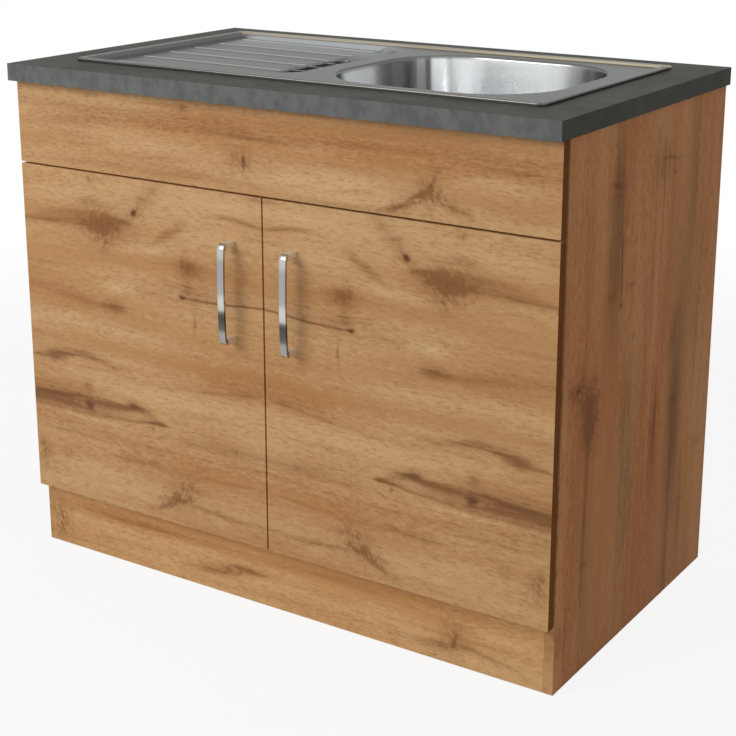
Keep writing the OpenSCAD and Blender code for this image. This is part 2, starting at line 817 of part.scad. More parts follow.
module sink_seal() {
    color(black_rubber) translate([sink_x, sink_y, height]) linear_extrude(border_h - sheet_t) difference() {
        round_rect(sink_w - 2 * seal_in, sink_d - 2 * seal_in, sink_r - 3);
        round_rect(sink_w - 2 * (seal_in + seal_w), sink_d - 2 * (seal_in + seal_w), 2);
    }
}

// Bent steel strips under the deck, each with a threaded foot below the worktop
module sink_clips() {
    color(zinc) at_clips() difference() {
        union() {
            block([-clip_w / 2, -clip_off - bracket_t, clip_z], [clip_w / 2, -clip_off, deck_z - sheet_t]);
            block([-clip_w / 2, -clip_off - bracket_t, clip_z], [clip_w / 2, clip_foot, clip_z + bracket_t]);
            block([-clip_w / 2, -clip_off - 5, deck_z - sheet_t - bracket_t], [clip_w / 2, -clip_off, deck_z - sheet_t]);
        }
        translate([0, clip_screw_out, carcass_top]) rotate([180, 0, 0]) screw_bore(clip_screw);
    }
}

module sink_clip_screws() {
    color(zinc) at_clips() translate([0, clip_screw_out, carcass_top]) rotate([180, 0, 0]) screw(clip_screw);
}

// Strainer: lap on the bowl's floor, cup, and a ledge that the basket's seal closes on
strainer_path = concat(
    [[drain_d / 2 + strainer_lap, floor_z + strainer_t]],
    arc([drain_d / 2, floor_z + strainer_t - strainer_play], strainer_play, 90, 180),
    [[strainer_r, ledge_z], [ledge_r, ledge_z], [ledge_r, strainer_z0 + strainer_t], [0, strainer_z0 + strainer_t]]
);

module waste_strainer() {
    color(steel) translate([drain_x, drain_y, 0]) difference() {
        rotate_extrude() polygon(strip(strainer_path, strainer_t));
        for (i = [0 : 7]) rotate(i * 45) translate([ledge_r * 0.62, 0, strainer_z0 - 1]) cylinder(d = 9, h = 4);
        translate([0, 0, strainer_z0 - 1]) cylinder(d = waste_bolt[0] + 2 * fit, h = 4);
    }
}

module waste_gasket() {
    color(black_rubber) translate([drain_x, drain_y, waste_top]) difference() {
        cylinder(r = drain_d / 2 + strainer_lap, h = gasket_t);
        translate([0, 0, -1]) cylinder(d = drain_d, h = gasket_t + 2);
    }
}

// Plastic body: chamber round the strainer, threaded outlet, overflow inlet, bridge for the bolt
module waste_body() {
    color(white_plastic) difference() {
        union() {
            translate([drain_x, drain_y, 0]) rotate_extrude() polygon([
                [waste_r - waste_wall, waste_z0 + waste_wall], [waste_r - waste_wall, waste_top],
                [drain_d / 2 + strainer_lap, waste_top], [drain_d / 2 + strainer_lap, waste_top - 4],
                [waste_r + 3, waste_top - 4], [waste_r, waste_top - 7], [waste_r, waste_z0 + 4],
                [waste_r - 4, waste_z0], [outlet_d / 2, waste_z0], [outlet_d / 2, outlet_z0 + 1],
                [outlet_d / 2 - 1, outlet_z0], [outlet_r, outlet_z0], [outlet_r, waste_z0 + waste_wall]
            ]);
            translate([drain_x, drain_y, 0]) {
                translate([-outlet_r - 1, -3, waste_z0]) cube([2 * outlet_r + 2, 6, waste_wall + 4]);
                translate([0, 0, waste_z0]) cylinder(d = waste_bolt[0] + 8, h = waste_wall + 4);
            }
            translate([drain_x - inlet_x, drain_y, pipe_z]) rotate([0, 90, 0])
                cylinder(d = spigot_d, h = inlet_x - waste_r + waste_wall / 2);
        }
        translate([drain_x - inlet_x - 1, drain_y, pipe_z]) rotate([0, 90, 0])
            cylinder(d = spigot_d - 2 * pipe_wall, h = inlet_x - waste_r + waste_wall + 2);
        translate([drain_x, drain_y, waste_z0 - 1]) cylinder(d = waste_bolt[0] + 2 * fit, h = waste_wall + 6);
    }
}

module waste_screw() {
    color(steel) translate([drain_x, drain_y, strainer_z0 + strainer_t - waste_bolt[1]]) screw(waste_bolt);
}

// Basket: its rim hangs on the seal, and a knob stands in its middle
basket_path = concat(
    [[basket_r, basket_z], [ledge_r - 3, basket_z]],
    arc([ledge_r - 8, basket_z - basket_deep + 4], 4, 0, -90, 6),
    [[0, basket_z - basket_deep]]
);

module strainer_basket() {
    color(steel) translate([drain_x, drain_y, 0]) {
        difference() {
            rotate_extrude() polygon(strip(basket_path, strainer_t));
            for (i = [0 : 11]) rotate(i * 30) translate([ledge_r - 14, 0, basket_z - basket_deep - 2])
                cylinder(d = 4, h = 4);
        }
        translate([0, 0, basket_z - basket_deep]) rotate_extrude() polygon(concat(
            [[0, -0.1], [4, -0.1], [3, 6], [3, basket_deep - 2]], arc([5, basket_deep + 3], 4, -90, 90),
            [[0, basket_deep + 7]]));
    }
}

module basket_seal() {
    color(black_rubber) translate([drain_x, drain_y, ledge_z]) difference() {
        cylinder(r = basket_r, h = seal_ring_t);
        translate([0, 0, -1]) cylinder(r = ledge_r - 1.8, h = seal_ring_t + 2);
    }
}

// Plastic box under the trough, with a spigot for the pipe
module overflow_channel() {
    color(white_plastic) translate([channel_x, channel_y, 0]) difference() {
        union() {
            translate([0, 0, channel_z0]) linear_extrude(channel_z1 - channel_z0)
                round_rect(channel_w, channel_l, channel_wall + 2);
            translate([0, drain_y - channel_y, channel_z0 - spigot_l]) cylinder(d = spigot_d, h = spigot_l + 1);
        }
        translate([0, 0, channel_z0 + channel_wall]) linear_extrude(channel_z1 - channel_z0)
            round_rect(channel_w - 2 * channel_wall, channel_l - 2 * channel_wall, 2);
        translate([0, drain_y - channel_y, channel_z0 - spigot_l - 1])
            cylinder(d = spigot_d - 2 * pipe_wall, h = spigot_l + channel_wall + 2);
    }
}

module pipe_section() {
    difference() {
        circle(d = pipe_d);
        circle(d = pipe_d - 2 * pipe_wall);
    }
}

// Down from the channel, round one bend and across to the waste body
module overflow_pipe() {
    color(white_plastic) translate([channel_x, drain_y, 0]) {
        translate([0, 0, pipe_z + pipe_bend]) linear_extrude(channel_z0 - 1 - pipe_z - pipe_bend) pipe_section();
        translate([pipe_bend, 0, pipe_z + pipe_bend]) rotate([-90, 0, 0]) rotate([0, 0, 90])
            rotate_extrude(angle = 90) translate([pipe_bend, 0]) pipe_section();
        translate([pipe_bend, 0, pipe_z]) rotate([0, 90, 0])
            linear_extrude(drain_x - waste_r - 1 - channel_x - pipe_bend) pipe_section();
    }
}

// Door on the right, hinged at its outer edge
module door() {
    difference() {
        block([door_split / 2, door_y0, door_z0], [door_out, door_y1, door_z1]);
        at_hinges() {
            translate([cup_u - pivot_in, cup_face_v - cup_depth, 0]) rotate([-90, 0, 0])
                cylinder(d = cup_d, h = cup_depth + 1);
            at_cup_screws() screw_bore(cup_screw);
        }
        at_handle_screws() screw_bore(handle_screw);
    }
}

module door_left() {
    color(oak) mirror([1, 0, 0]) door();
}

module door_right() {
    color(oak) door();
}

// Round buffers at the free edge, against the front rail and the bottom panel
module door_bumpers() {
    color(white_plastic) for (z = [door_z1 - rail_cover / 2, bottom_z + board_t / 2])
        translate([door_split / 2 + bumper_in, door_y1, z]) rotate([-90, 0, 0])
            cylinder(d1 = bumper_d, d2 = bumper_d - 1.5, h = door_back_gap - 0.3);
}

module door_bumpers_left() {
    mirror([1, 0, 0]) door_bumpers();
}

module door_bumpers_right() {
    door_bumpers();
}

// Bow handle seen from the side: first number is the distance from the door, second the height
handle_front = [for (i = [0 : 12]) let (s = i / 12, z = handle_corner_r + s * (handle_l - 2 * handle_corner_r))
    [handle_stand - handle_bow * pow(2 * z / handle_l - 1, 2), z]];
handle_back = [for (i = [0 : 12]) let (s = i / 12, z = handle_leg_t + handle_inner + s * (handle_l - 2 * (handle_leg_t + handle_inner)))
    [handle_stand - handle_bar_t - handle_bow * pow(2 * z / handle_l - 1, 2), z]];
handle_end = handle_stand - handle_bow;
handle_outline = concat(
    [[0, handle_l], [0, handle_l - handle_leg_t], [handle_end - handle_bar_t - handle_inner, handle_l - handle_leg_t]],
    [for (i = [12 : -1 : 0]) handle_back[i]],
    [[handle_end - handle_bar_t - handle_inner, handle_leg_t], [0, handle_leg_t], [0, 0]],
    arc([handle_end - handle_corner_r, handle_corner_r], handle_corner_r, -90, -10, 5),
    handle_front,
    arc([handle_end - handle_corner_r, handle_l - handle_corner_r], handle_corner_r, 10, 90, 5)
);

module handle() {
    color(chrome) difference() {
        translate([handle_x - handle_w / 2, door_y0, handle_z0]) mirror([0, 1, 0]) rotate([90, 0, 90])
            linear_extrude(handle_w) polygon(handle_outline);
        at_handle_screws() screw_bore(handle_screw);
    }
}

module handle_left() {
    mirror([1, 0, 0]) handle();
}

module handle_right() {
    handle();
}

module handle_screws_left() {
    color(zinc) mirror([1, 0, 0]) at_handle_screws() screw(handle_screw);
}

module handle_screws_right() {
    color(zinc) at_handle_screws() screw(handle_screw);
}

// Pressed cup with two lugs that hold the pin, a rim and two ears for its screws
module hinge_cup() {
    cup_r = cup_d / 2 - fit;
    deep = cup_depth - 0.2;
    inner_v = cup_face_v - deep + cup_wall;
    color(zinc) difference() {
        union() {
            translate([cup_u - pivot_in, cup_face_v - deep, 0]) rotate([-90, 0, 0]) difference() {
                cylinder(r = cup_r, h = deep + flange_t);
                translate([0, 0, cup_wall]) cylinder(r = cup_r - cup_wall, h = deep + flange_t);
            }
            translate([cup_u - pivot_in, cup_face_v, 0]) rotate([-90, 0, 0]) difference() {
                union() {
                    cylinder(r = cup_r + cup_rim, h = flange_t);
                    for (s = [-1, 1]) {
                        translate([flange_screw_u, s * flange_pitch / 2, 0]) cylinder(d = flange_ear_d, h = flange_t);
                        translate([flange_screw_u - flange_ear_d / 2, s > 0 ? 0 : -flange_pitch / 2, 0])
                            cube([flange_ear_d, flange_pitch / 2, flange_t]);
                    }
                }
                translate([0, 0, -1]) cylinder(r = cup_r - cup_wall, h = flange_t + 2);
            }
            intersection() {
                for (s = [0, 1]) mirror([0, 0, s])
                    block([-2.5, inner_v - 0.1, neck_w / 2 + 0.4], [2.3, 2.2, pin_l / 2]);
                translate([cup_u - pivot_in, cup_face_v - deep, 0]) rotate([-90, 0, 0])
                    cylinder(r = cup_r - cup_wall / 2, h = deep);
            }
        }
        cylinder(d = pin_d + 0.02, h = pin_l + 2, center = true);
        at_cup_screws() screw_bore(cup_screw);
    }
}

module hinge_cups_left() {
    mirror([1, 0, 0]) at_hinges() hinge_cup();
}

module hinge_cups_right() {
    at_hinges() hinge_cup();
}

module hinge_pins_left() {
    color(zinc) mirror([1, 0, 0]) at_hinges() cylinder(d = pin_d, h = pin_l, center = true);
}

module hinge_pins_right() {
    color(zinc) at_hinges() cylinder(d = pin_d, h = pin_l, center = true);
}

module hinge_cup_screws_left() {
    color(zinc) mirror([1, 0, 0]) at_hinges() at_cup_screws() screw(cup_screw);
}

module hinge_cup_screws_right() {
    color(zinc) at_hinges() at_cup_screws() screw(cup_screw);
}

// Outer line of the neck, from below the pin to just before the plate's ridge
neck_path = concat(
    [[0, -eye_d / 2]],
    arc([arm_u1 - neck_bend, neck_bend - eye_d / 2], neck_bend, -90, 0),
    [[arm_u1, ridge_v0 - arm_play]]
);

// Arm: an eye on the pin, a neck that leaves the cup and turns back, and a channel over the plate
module hinge_arm() {
    difference() {
        union() {
            translate([0, 0, -neck_w / 2]) linear_extrude(neck_w) union() {
                circle(d = eye_d);
                polygon(strip(neck_path, neck_t));
            }
            block([ridge_u1, arm_v0, -arm_w / 2], [arm_u1, arm_v0 + arm_l, arm_w / 2]);
            for (s = [0, 1]) mirror([0, 0, s])
                block([hinge_side_u + plate_t + 2 * arm_play, arm_v0, arm_w / 2 - arm_t], [arm_u1, arm_v0 + arm_l, arm_w / 2]);
        }
        cylinder(d = pin_d + 0.1, h = neck_w + 2, center = true);
        at_arm_screws() screw_bore(arm_screw);
    }
}

module hinge_arms() {
    color(zinc) both_sides() at_hinges() hinge_arm();
}

// Mounting plate: two wings on the side panel and a ridge that the arm sits on
module hinge_plates() {
    color(zinc) both_sides() at_hinges() difference() {
        union() {
            block([hinge_side_u, plate_v - wing_half, -plate_pitch / 2 - wing_end],
                [hinge_side_u + plate_t, plate_v + wing_half, plate_pitch / 2 + wing_end]);
            block([hinge_side_u, ridge_v0, -ridge_w / 2], [ridge_u1, ridge_v0 + ridge_l, ridge_w / 2]);
        }
        at_plate_screws() screw_bore(chip_screw);
        at_arm_screws() screw_bore(arm_screw);
    }
}

module hinge_plate_screws() {
    color(zinc) both_sides() at_hinges() at_plate_screws() screw(chip_screw);
}

module hinge_arm_screws() {
    color(zinc) both_sides() at_hinges() at_arm_screws() screw(arm_screw);
}

side_panel_left();
side_panel_right();
bottom_panel();
plinth_board();
front_rail();
rear_top_rail();
rear_bottom_rail();
floor_glides();
wood_dowels();
cam_bolts();
cam_discs();
fascia_panel();
fascia_spacers();
fascia_screws();
worktop();
worktop_brackets();
worktop_screws();
sink();
sink_seal();
sink_clips();
sink_clip_screws();
waste_strainer();
waste_gasket();
waste_body();
waste_screw();
strainer_basket();
basket_seal();
overflow_channel();
overflow_pipe();
door_left();
door_right();
door_bumpers_left();
door_bumpers_right();
handle_left();
handle_right();
handle_screws_left();
handle_screws_right();
hinge_cups_left();
hinge_cups_right();
hinge_pins_left();
hinge_pins_right();
hinge_cup_screws_left();
hinge_cup_screws_right();
hinge_arms();
hinge_plates();
hinge_plate_screws();
hinge_arm_screws();
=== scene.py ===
import json
import math

import bmesh
import bpy
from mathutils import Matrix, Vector
from mathutils.geometry import delaunay_2d_cdt


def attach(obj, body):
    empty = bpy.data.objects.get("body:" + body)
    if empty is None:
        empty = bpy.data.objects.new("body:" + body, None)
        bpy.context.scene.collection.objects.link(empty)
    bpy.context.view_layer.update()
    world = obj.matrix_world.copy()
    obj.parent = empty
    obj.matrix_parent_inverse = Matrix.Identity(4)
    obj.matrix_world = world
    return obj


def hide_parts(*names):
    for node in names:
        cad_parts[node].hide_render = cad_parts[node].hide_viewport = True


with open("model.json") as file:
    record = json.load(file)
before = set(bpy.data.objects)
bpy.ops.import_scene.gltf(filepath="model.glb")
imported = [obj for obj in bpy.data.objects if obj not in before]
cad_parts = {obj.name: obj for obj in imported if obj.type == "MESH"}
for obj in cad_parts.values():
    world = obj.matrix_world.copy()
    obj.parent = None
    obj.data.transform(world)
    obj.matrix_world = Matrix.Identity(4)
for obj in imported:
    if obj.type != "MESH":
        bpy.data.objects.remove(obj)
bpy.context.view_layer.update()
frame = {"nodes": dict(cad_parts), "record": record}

mm = 0.001
nodes = frame["nodes"]
bodyOf = {name: body for body, names in frame["record"]["behaviour"]["bodies"].items() for name in names}
print("frame loaded:", len(nodes), "nodes")


# Nodes as Python expressions

class Link:
    def __init__(self, tree, socket):
        self.tree = tree
        self.socket = socket

    def join(self, operation, other=0.0, swap=False):
        values = (other, self) if swap else (self, other)
        return self.tree.add("ShaderNodeMath", {"operation": operation}, dict(enumerate(values)))

    def __abs__(self):
        return self.join("ABSOLUTE")

    def above(self, other):
        return self.join("GREATER_THAN", other)

    def low(self, other):
        return self.join("MINIMUM", other)

    def high(self, other):
        return self.join("MAXIMUM", other)

    def nearest(self):
        return self.join("ROUND")

    def clip(self):
        return self.tree.add("ShaderNodeClamp", {}, {0: self})

    def step(self, start, end):
        # rises softly from 0 at start to 1 at end
        settings = {"interpolation_type": "SMOOTHSTEP"}
        return self.tree.add("ShaderNodeMapRange", settings, {0: self, 1: start, 2: end})


def overload(name, operation):
    # one operator of Link and its reflected form, so that both mask - 1 and 1 - mask work
    setattr(Link, f"__{name}__", lambda link, other: link.join(operation, other))
    setattr(Link, f"__r{name}__", lambda link, other: link.join(operation, other, swap=True))


operators = {"add": "ADD", "sub": "SUBTRACT", "mul": "MULTIPLY", "truediv": "DIVIDE", "pow": "POWER"}
for name, operation in operators.items():
    overload(name, operation)


class Tree:
    def __init__(self, nodeTree):
        self.nodeTree = nodeTree
        nodeTree.nodes.clear()

    def add(self, kind, settings=None, values=None, out=0):
        # the settings go first, then the values or links of the sockets; points are those of a curve
        node = self.nodeTree.nodes.new(kind)
        for name, value in (settings or {}).items():
            if name == "points":
                self.shape(node.mapping, value)
            else:
                setattr(node, name, value)
        for name, value in (values or {}).items():
            if isinstance(value, Link):
                self.nodeTree.links.new(value.socket, node.inputs[name])
            else:
                node.inputs[name].default_value = value
        return Link(self, node.outputs[out]) if len(node.outputs) else node

    def shape(self, mapping, points):
        bent = mapping.curves[0]
        while len(bent.points) < len(points):
            bent.points.new(0.5, 0.5)
        for point, place in zip(bent.points, points):
            point.location = place
            point.handle_type = "AUTO_CLAMPED"
        mapping.extend = "HORIZONTAL"
        mapping.update()

    def outs(self, kind, values=None):
        link = self.add(kind, {}, values)
        return [Link(self, socket) for socket in link.socket.node.outputs]

    def objectPlace(self):
        return self.outs("ShaderNodeTexCoord")[3]

    def vector(self, x=0.0, y=0.0, z=0.0):
        return self.add("ShaderNodeCombineXYZ", {}, {0: x, 1: y, 2: z})

    def split(self, vector):
        return self.outs("ShaderNodeSeparateXYZ", {0: vector})

    def axes(self, vector):
        return dict(zip("xyz", self.split(vector)))

    def stretch(self, vector, *factors):
        return self.add("ShaderNodeVectorMath", {"operation": "MULTIPLY"}, {0: vector, 1: factors})

    def dot(self, a, b):
        return self.add("ShaderNodeVectorMath", {"operation": "DOT_PRODUCT"}, {0: a, 1: b}, 1)

    def noise(self, vector, scale=1.0, detail=2.0, rough=0.5, out=0):
        values = {"Vector": vector, "Scale": scale, "Detail": detail, "Roughness": rough}
        return self.add("ShaderNodeTexNoise", {}, values, out)

    def curve(self, value, points):
        return self.add("ShaderNodeFloatCurve", {"points": points}, {"Value": value})

    def mix(self, factor, a, b, blend="MIX"):
        settings = {"data_type": "RGBA", "blend_type": blend}
        return self.add("ShaderNodeMix", settings, {0: factor, 6: a, 7: b}, 2)


def tint(*parts):
    # a colour as it looks on the screen, from 0 to 255, as the linear colour that a shader takes
    shown = [part / 255 for part in parts]
    return (*[v / 12.92 if v <= 0.04045 else ((v + 0.055) / 1.055) ** 2.4 for v in shown], 1.0)


def material(name, base, rough, metal=0.0, bump=None, height=0.0, specular=0.5, edge=1.0):
    # base, rough and bump are functions that take the tree and the object's own coordinates
    made = bpy.data.materials.new(name)
    made.use_nodes = True
    tree = Tree(made.node_tree)
    place = tree.objectPlace()
    values = {
        "Base Color": base(tree, place),
        "Roughness": rough(tree, place),
        "Metallic": metal,
        "Specular IOR Level": specular,
        "Specular Tint": (edge, edge, edge, 1.0),
    }
    if bump:
        relief = {"Strength": 1.0, "Distance": height, "Height": bump(tree, place)}
        values["Normal"] = tree.add("ShaderNodeBump", {}, relief)
    shader = tree.add("ShaderNodeBsdfPrincipled", {}, values)
    tree.add("ShaderNodeOutputMaterial", {}, {"Surface": shader})
    return made


# Oak decor: a printed board. Marks are placed in millimetres on the board's own face

decor = {
    "pale": tint(215, 175, 128),
    "tan": tint(201, 157, 108),
    "orange": tint(184, 131, 80),
    "olive": tint(152, 124, 74),
    "edgeBand": tint(118, 66, 26),
    "brown": tint(132, 84, 44),
    "darkest": tint(86, 52, 30),
    "wave": 0.014,
    "ripple": 0.0012,
    "falloff": 0.4,
    "softEdge": 0.2,
    "paintedLightSoft": 0.5,
    "gloss": {"ground": 0.40, "streaks": 0.16, "ends": 0.5},
    "relief": {"pores": 0.4, "poreSteps": (0.35, 0.75), "grooves": 1.6},
    "poreDepth": 0.2,
    # repeats in a metre along and across the grain, detail, roughness
    "foil": {
        "streaks": (12.0, 260.0, 2.0, 0.5),
        "pores": (60.0, 1500.0, 2.0, 0.5),
        "grooves": (90.0, 300.0, 3.0, 0.6),
    },
    # repeats in a metre along, across and through the board, share of the seed, detail, roughness
    "noises": {
        "drift": (2.6, 7.0, 1.0, 1.0, 2.0, 0.5),
        "ripple": (26.0, 60.0, 1.0, 1.0, 2.0, 0.5),
        "bands": (1.5, 17.0, 3.0, 1.0, 3.0, 0.55),
        "veins": (5.0, 95.0, 9.0, 1.0, 4.0, 0.6),
        "fibres": (18.0, 620.0, 40.0, 1.0, 3.0, 0.6),
        "flecks": (80.0, 300.0, 40.0, -1.0, 3.0, 0.65),
        "mottle": (34.0, 70.0, 30.0, 1.0, 3.0, 0.6),
    },
}

# Each mark: middle along the grain, middle across it, half length, half width, turn in degrees, strength
# Each vein follows points of: place along the grain, place across it, half width, strength
doorMarks = {
    "depth": 1.0,
    "solid": [
        (254, 628, 6, 6, 0, 0.85), (246, 643, 22, 6, -60, 0.36), (160, 504, 6, 4.5, 0, 0.60),
        (136, 466, 3, 15, 4, 0.56), (195, 464, 4, 3, 0, 0.28), (230, 268, 5, 5.5, 0, 0.55),
        (369, 284, 8, 7, 0, 0.58), (268, 300, 10, 7, 0, 0.36), (286, 499, 5, 4, 0, 0.20),
    ],
    "along": [
        (345, 637, 24, 6, -4, 0.32), (10, 680, 22, 5, 0, 0.45), (215, 668, 36, 12, -50, 0.40),
        (146, 548, 18, 14, 15, 0.52), (151, 524, 11, 18, 0, 0.34), (110, 553, 60, 10, 0, 0.18),
        (100, 512, 110, 16, -3, 0.28), (302, 466, 24, 11, 0, 0.46), (30, 376, 60, 18, -8, 0.28),
        (370, 316, 9, 11, 0, 0.46), (330, 604, 66, 26, 0, 0.22), (306, 294, 56, 9, -3, 0.42),
        (330, 280, 70, 12, 0, 0.26), (70, 262, 110, 12, 0, 0.26), (420, 228, 120, 8, 0, 0.22),
        (190, 146, 40, 5, -24, 0.50), (30, 130, 30, 5, 0, 0.24), (470, 395, 40, 6, 0, 0.20),
    ],
    "stroke": [
        (322, 602, 46, 22, 0, 0.62), (318, 572, 24, 20, 20, 0.50), (146, 556, 28, 14, 10, 0.62),
        (168, 172, 34, 26, -35, 0.60), (200, 150, 34, 12, -30, 0.56), (478, 178, 14, 24, 0, 0.74),
        (425, 186, 10, 14, 30, 0.46), (345, 674, 5, 9, 0, 0.42), (250, 205, 34, 9, 0, 0.26),
    ],
    "light": [
        (225, 575, 70, 16, -6, 0.42), (290, 500, 30, 9, -4, 0.85), (90, 600, 90, 16, 0, 0.30),
        (60, 662, 90, 12, 0, 0.30), (430, 650, 80, 22, 0, 0.30), (410, 258, 110, 4, 0, 0.65),
        (240, 325, 120, 14, 0, 0.25), (350, 160, 110, 20, 4, 0.40), (440, 130, 70, 14, 0, 0.35),
        (200, 420, 150, 20, 0, 0.22), (370, 430, 130, 10, 0, 0.20), (420, 332, 90, 8, -4, 0.26),
    ],
    "warm": [
        (60, 380, 140, 34, -6, 0.65), (250, 242, 320, 22, 2, 0.75), (420, 470, 120, 26, 4, 0.35),
        (440, 286, 130, 26, 0, 0.30), (120, 540, 140, 34, 0, 0.25), (240, 205, 200, 14, 0, 0.40),
    ],
    "bends": [
        (254, 628, 34, 24, 16), (322, 590, 60, 30, 14), (146, 545, 42, 26, 16), (170, 168, 60, 34, -20),
        (160, 504, 30, 12, 8), (369, 290, 60, 26, 12), (260, 555, 60, 30, -10), (350, 160, 120, 44, -9),
    ],
    "veins": [
        [(0, 511, 1.5, 0.70), (45, 508, 1.7, 0.80), (80, 505, 1.7, 0.90), (150, 504, 2.0, 0.85),
         (172, 504, 2.0, 0.0)],
        [(0, 636, 3, 0.32), (30, 640, 4, 0.48), (60, 645, 3.5, 0.52), (90, 645, 3, 0.22),
         (120, 643, 3, 0.0)],
        [(250, 617, 5, 0.0), (280, 610, 8, 0.42), (325, 603, 12, 0.50), (370, 606, 11, 0.50),
         (425, 602, 11, 0.66), (496, 591, 6, 0.50)],
        [(140, 626, 6, 0.0), (160, 617, 10, 0.34), (188, 601, 8, 0.58), (215, 586, 6, 0.34),
         (240, 576, 4, 0.0)],
        [(265, 362, 5, 0.0), (305, 362, 6, 0.30), (345, 368, 7, 0.60), (372, 372, 7, 0.84),
         (400, 369, 8, 0.72), (432, 362, 11, 0.88), (460, 357, 10, 0.66), (496, 352, 5, 0.32)],
        [(198, 280, 3, 0.0), (215, 282, 5, 0.56), (245, 294, 9, 0.66), (264, 299, 9, 0.72),
         (300, 292, 10, 0.70), (335, 290, 12, 0.74), (375, 291, 18, 0.80), (430, 286, 20, 0.86),
         (496, 281, 21, 0.86)],
        [(355, 297, 2.5, 0.0), (385, 296, 3, 0.34), (430, 291, 3.5, 0.44), (496, 289, 4, 0.44)],
        [(195, 280, 3, 0.0), (215, 279, 3, 0.46), (260, 275, 3.2, 0.58), (310, 271, 3.4, 0.60),
         (360, 268, 3.4, 0.48), (440, 265, 3, 0.0)],
        [(10, 367, 2.5, 0.10), (70, 359, 3, 0.42), (130, 353, 3, 0.40), (180, 348, 3, 0.14),
         (215, 346, 3, 0.0)],
        [(0, 150, 3.5, 0.22), (60, 148, 5, 0.40), (130, 149, 5, 0.42), (165, 150, 4, 0.0)],
        [(0, 243, 3, 0.32), (60, 239, 3, 0.28), (150, 238, 2.5, 0.18), (260, 236, 3, 0.14),
         (400, 240, 4, 0.20), (496, 243, 4, 0.20)],
        [(0, 213, 2.5, 0.16), (60, 208, 2.5, 0.28), (120, 206, 3, 0.12), (200, 205, 4, 0.14),
         (250, 207, 5, 0.42), (300, 203, 5, 0.40), (335, 204, 4, 0.0)],
        [(270, 470, 8, 0.0), (320, 462, 10, 0.22), (380, 468, 12, 0.30), (440, 478, 12, 0.30),
         (496, 484, 12, 0.28)],
    ],
}

# On the fascia the long bands along its top, the darker one at 806 and the warm ones at 776 and 780, are
# painted shadow under the worktop
fasciaMarks = {
    "depth": 0.85,
    "solid": [
        (-33, 735, 3.5, 17, 0, 0.60), (-55, 732, 3, 12, 0, 0.22), (16, 742, 3, 12, 12, 0.26),
        (300, 744, 4, 12, -8, 0.40), (-149, 806, 10, 6, 0, 0.50), (-340, 811, 18, 5, 0, 0.38),
    ],
    "along": [
        (-260, 786, 230, 8, -1, 0.52), (40, 806, 460, 12, 0, 0.30), (180, 780, 260, 7, 1, 0.40),
        (-20, 772, 60, 4, 0, 0.52), (-420, 762, 90, 10, 4, 0.30), (90, 730, 24, 3, -18, 0.30),
        (120, 724, 36, 2.4, 14, 0.32), (170, 716, 40, 2.6, 6, 0.26), (262, 714, 38, 3.5, 32, 0.44),
        (244, 702, 34, 4, 16, 0.50), (326, 710, 40, 3.5, -14, 0.45), (440, 770, 90, 12, -3, 0.34),
        (-330, 700, 160, 8, 0, 0.22), (430, 716, 80, 7, -4, 0.25), (-150, 708, 120, 6, -3, 0.24),
        (120, 692, 90, 4, 0, 0.26),
    ],
    "stroke": [
        (-36, 738, 28, 16, 0, 0.70), (-362, 742, 24, 10, 0, 0.34), (290, 730, 14, 26, -10, 0.82),
        (262, 712, 44, 10, 26, 0.62), (326, 712, 42, 9, -24, 0.52), (-448, 726, 18, 10, 0, 0.25),
    ],
    "light": [
        (130, 722, 110, 20, 0, 0.62), (-240, 742, 150, 22, 0, 0.42), (400, 742, 70, 14, 0, 0.35),
        (-420, 715, 60, 14, 0, 0.30),
    ],
    "warm": [(-100, 780, 420, 20, 0, 0.85), (300, 776, 240, 22, 0, 0.75), (-380, 700, 200, 16, 0, 0.35)],
    "bends": [(290, 726, 60, 26, -18), (-36, 738, 60, 22, 8), (130, 724, 60, 20, 8)],
}

plinthMarks = {
    "depth": 0.8,
    "solid": [(334, 44, 4, 16, -10, 0.45), (-468, 58, 6, 26, 6, 0.30)],
    "along": [
        (-95, 42, 56, 8, 10, 0.50), (-46, 52, 34, 4.5, -4, 0.44), (-150, 34, 50, 6, 6, 0.36),
        (-300, 40, 120, 5, 2, 0.24), (-300, 80, 170, 10, 0, 0.40), (120, 84, 220, 7, 2, 0.30),
        (300, 26, 60, 7, 8, 0.42), (390, 30, 70, 6, -10, 0.38), (-380, 20, 120, 7, 0, 0.34),
        (100, 20, 150, 6, 0, 0.26), (430, 90, 70, 6, 0, 0.34),
    ],
    "stroke": [
        (-468, 44, 26, 36, 0, 0.85), (334, 54, 22, 30, -8, 0.60), (-84, 50, 62, 12, 10, 0.50),
        (310, 26, 30, 14, 0, 0.42),
    ],
    "light": [(420, 66, 60, 9, 0, 0.55), (-180, 62, 60, 7, 0, 0.35), (210, 52, 70, 12, 0, 0.30)],
    "warm": [(-300, 84, 220, 18, 0, 0.6), (200, 90, 240, 14, 0, 0.5)],
    "bends": [(334, 44, 50, 28, -16), (-468, 44, 40, 30, 12), (-80, 46, 70, 14, 8)],
}

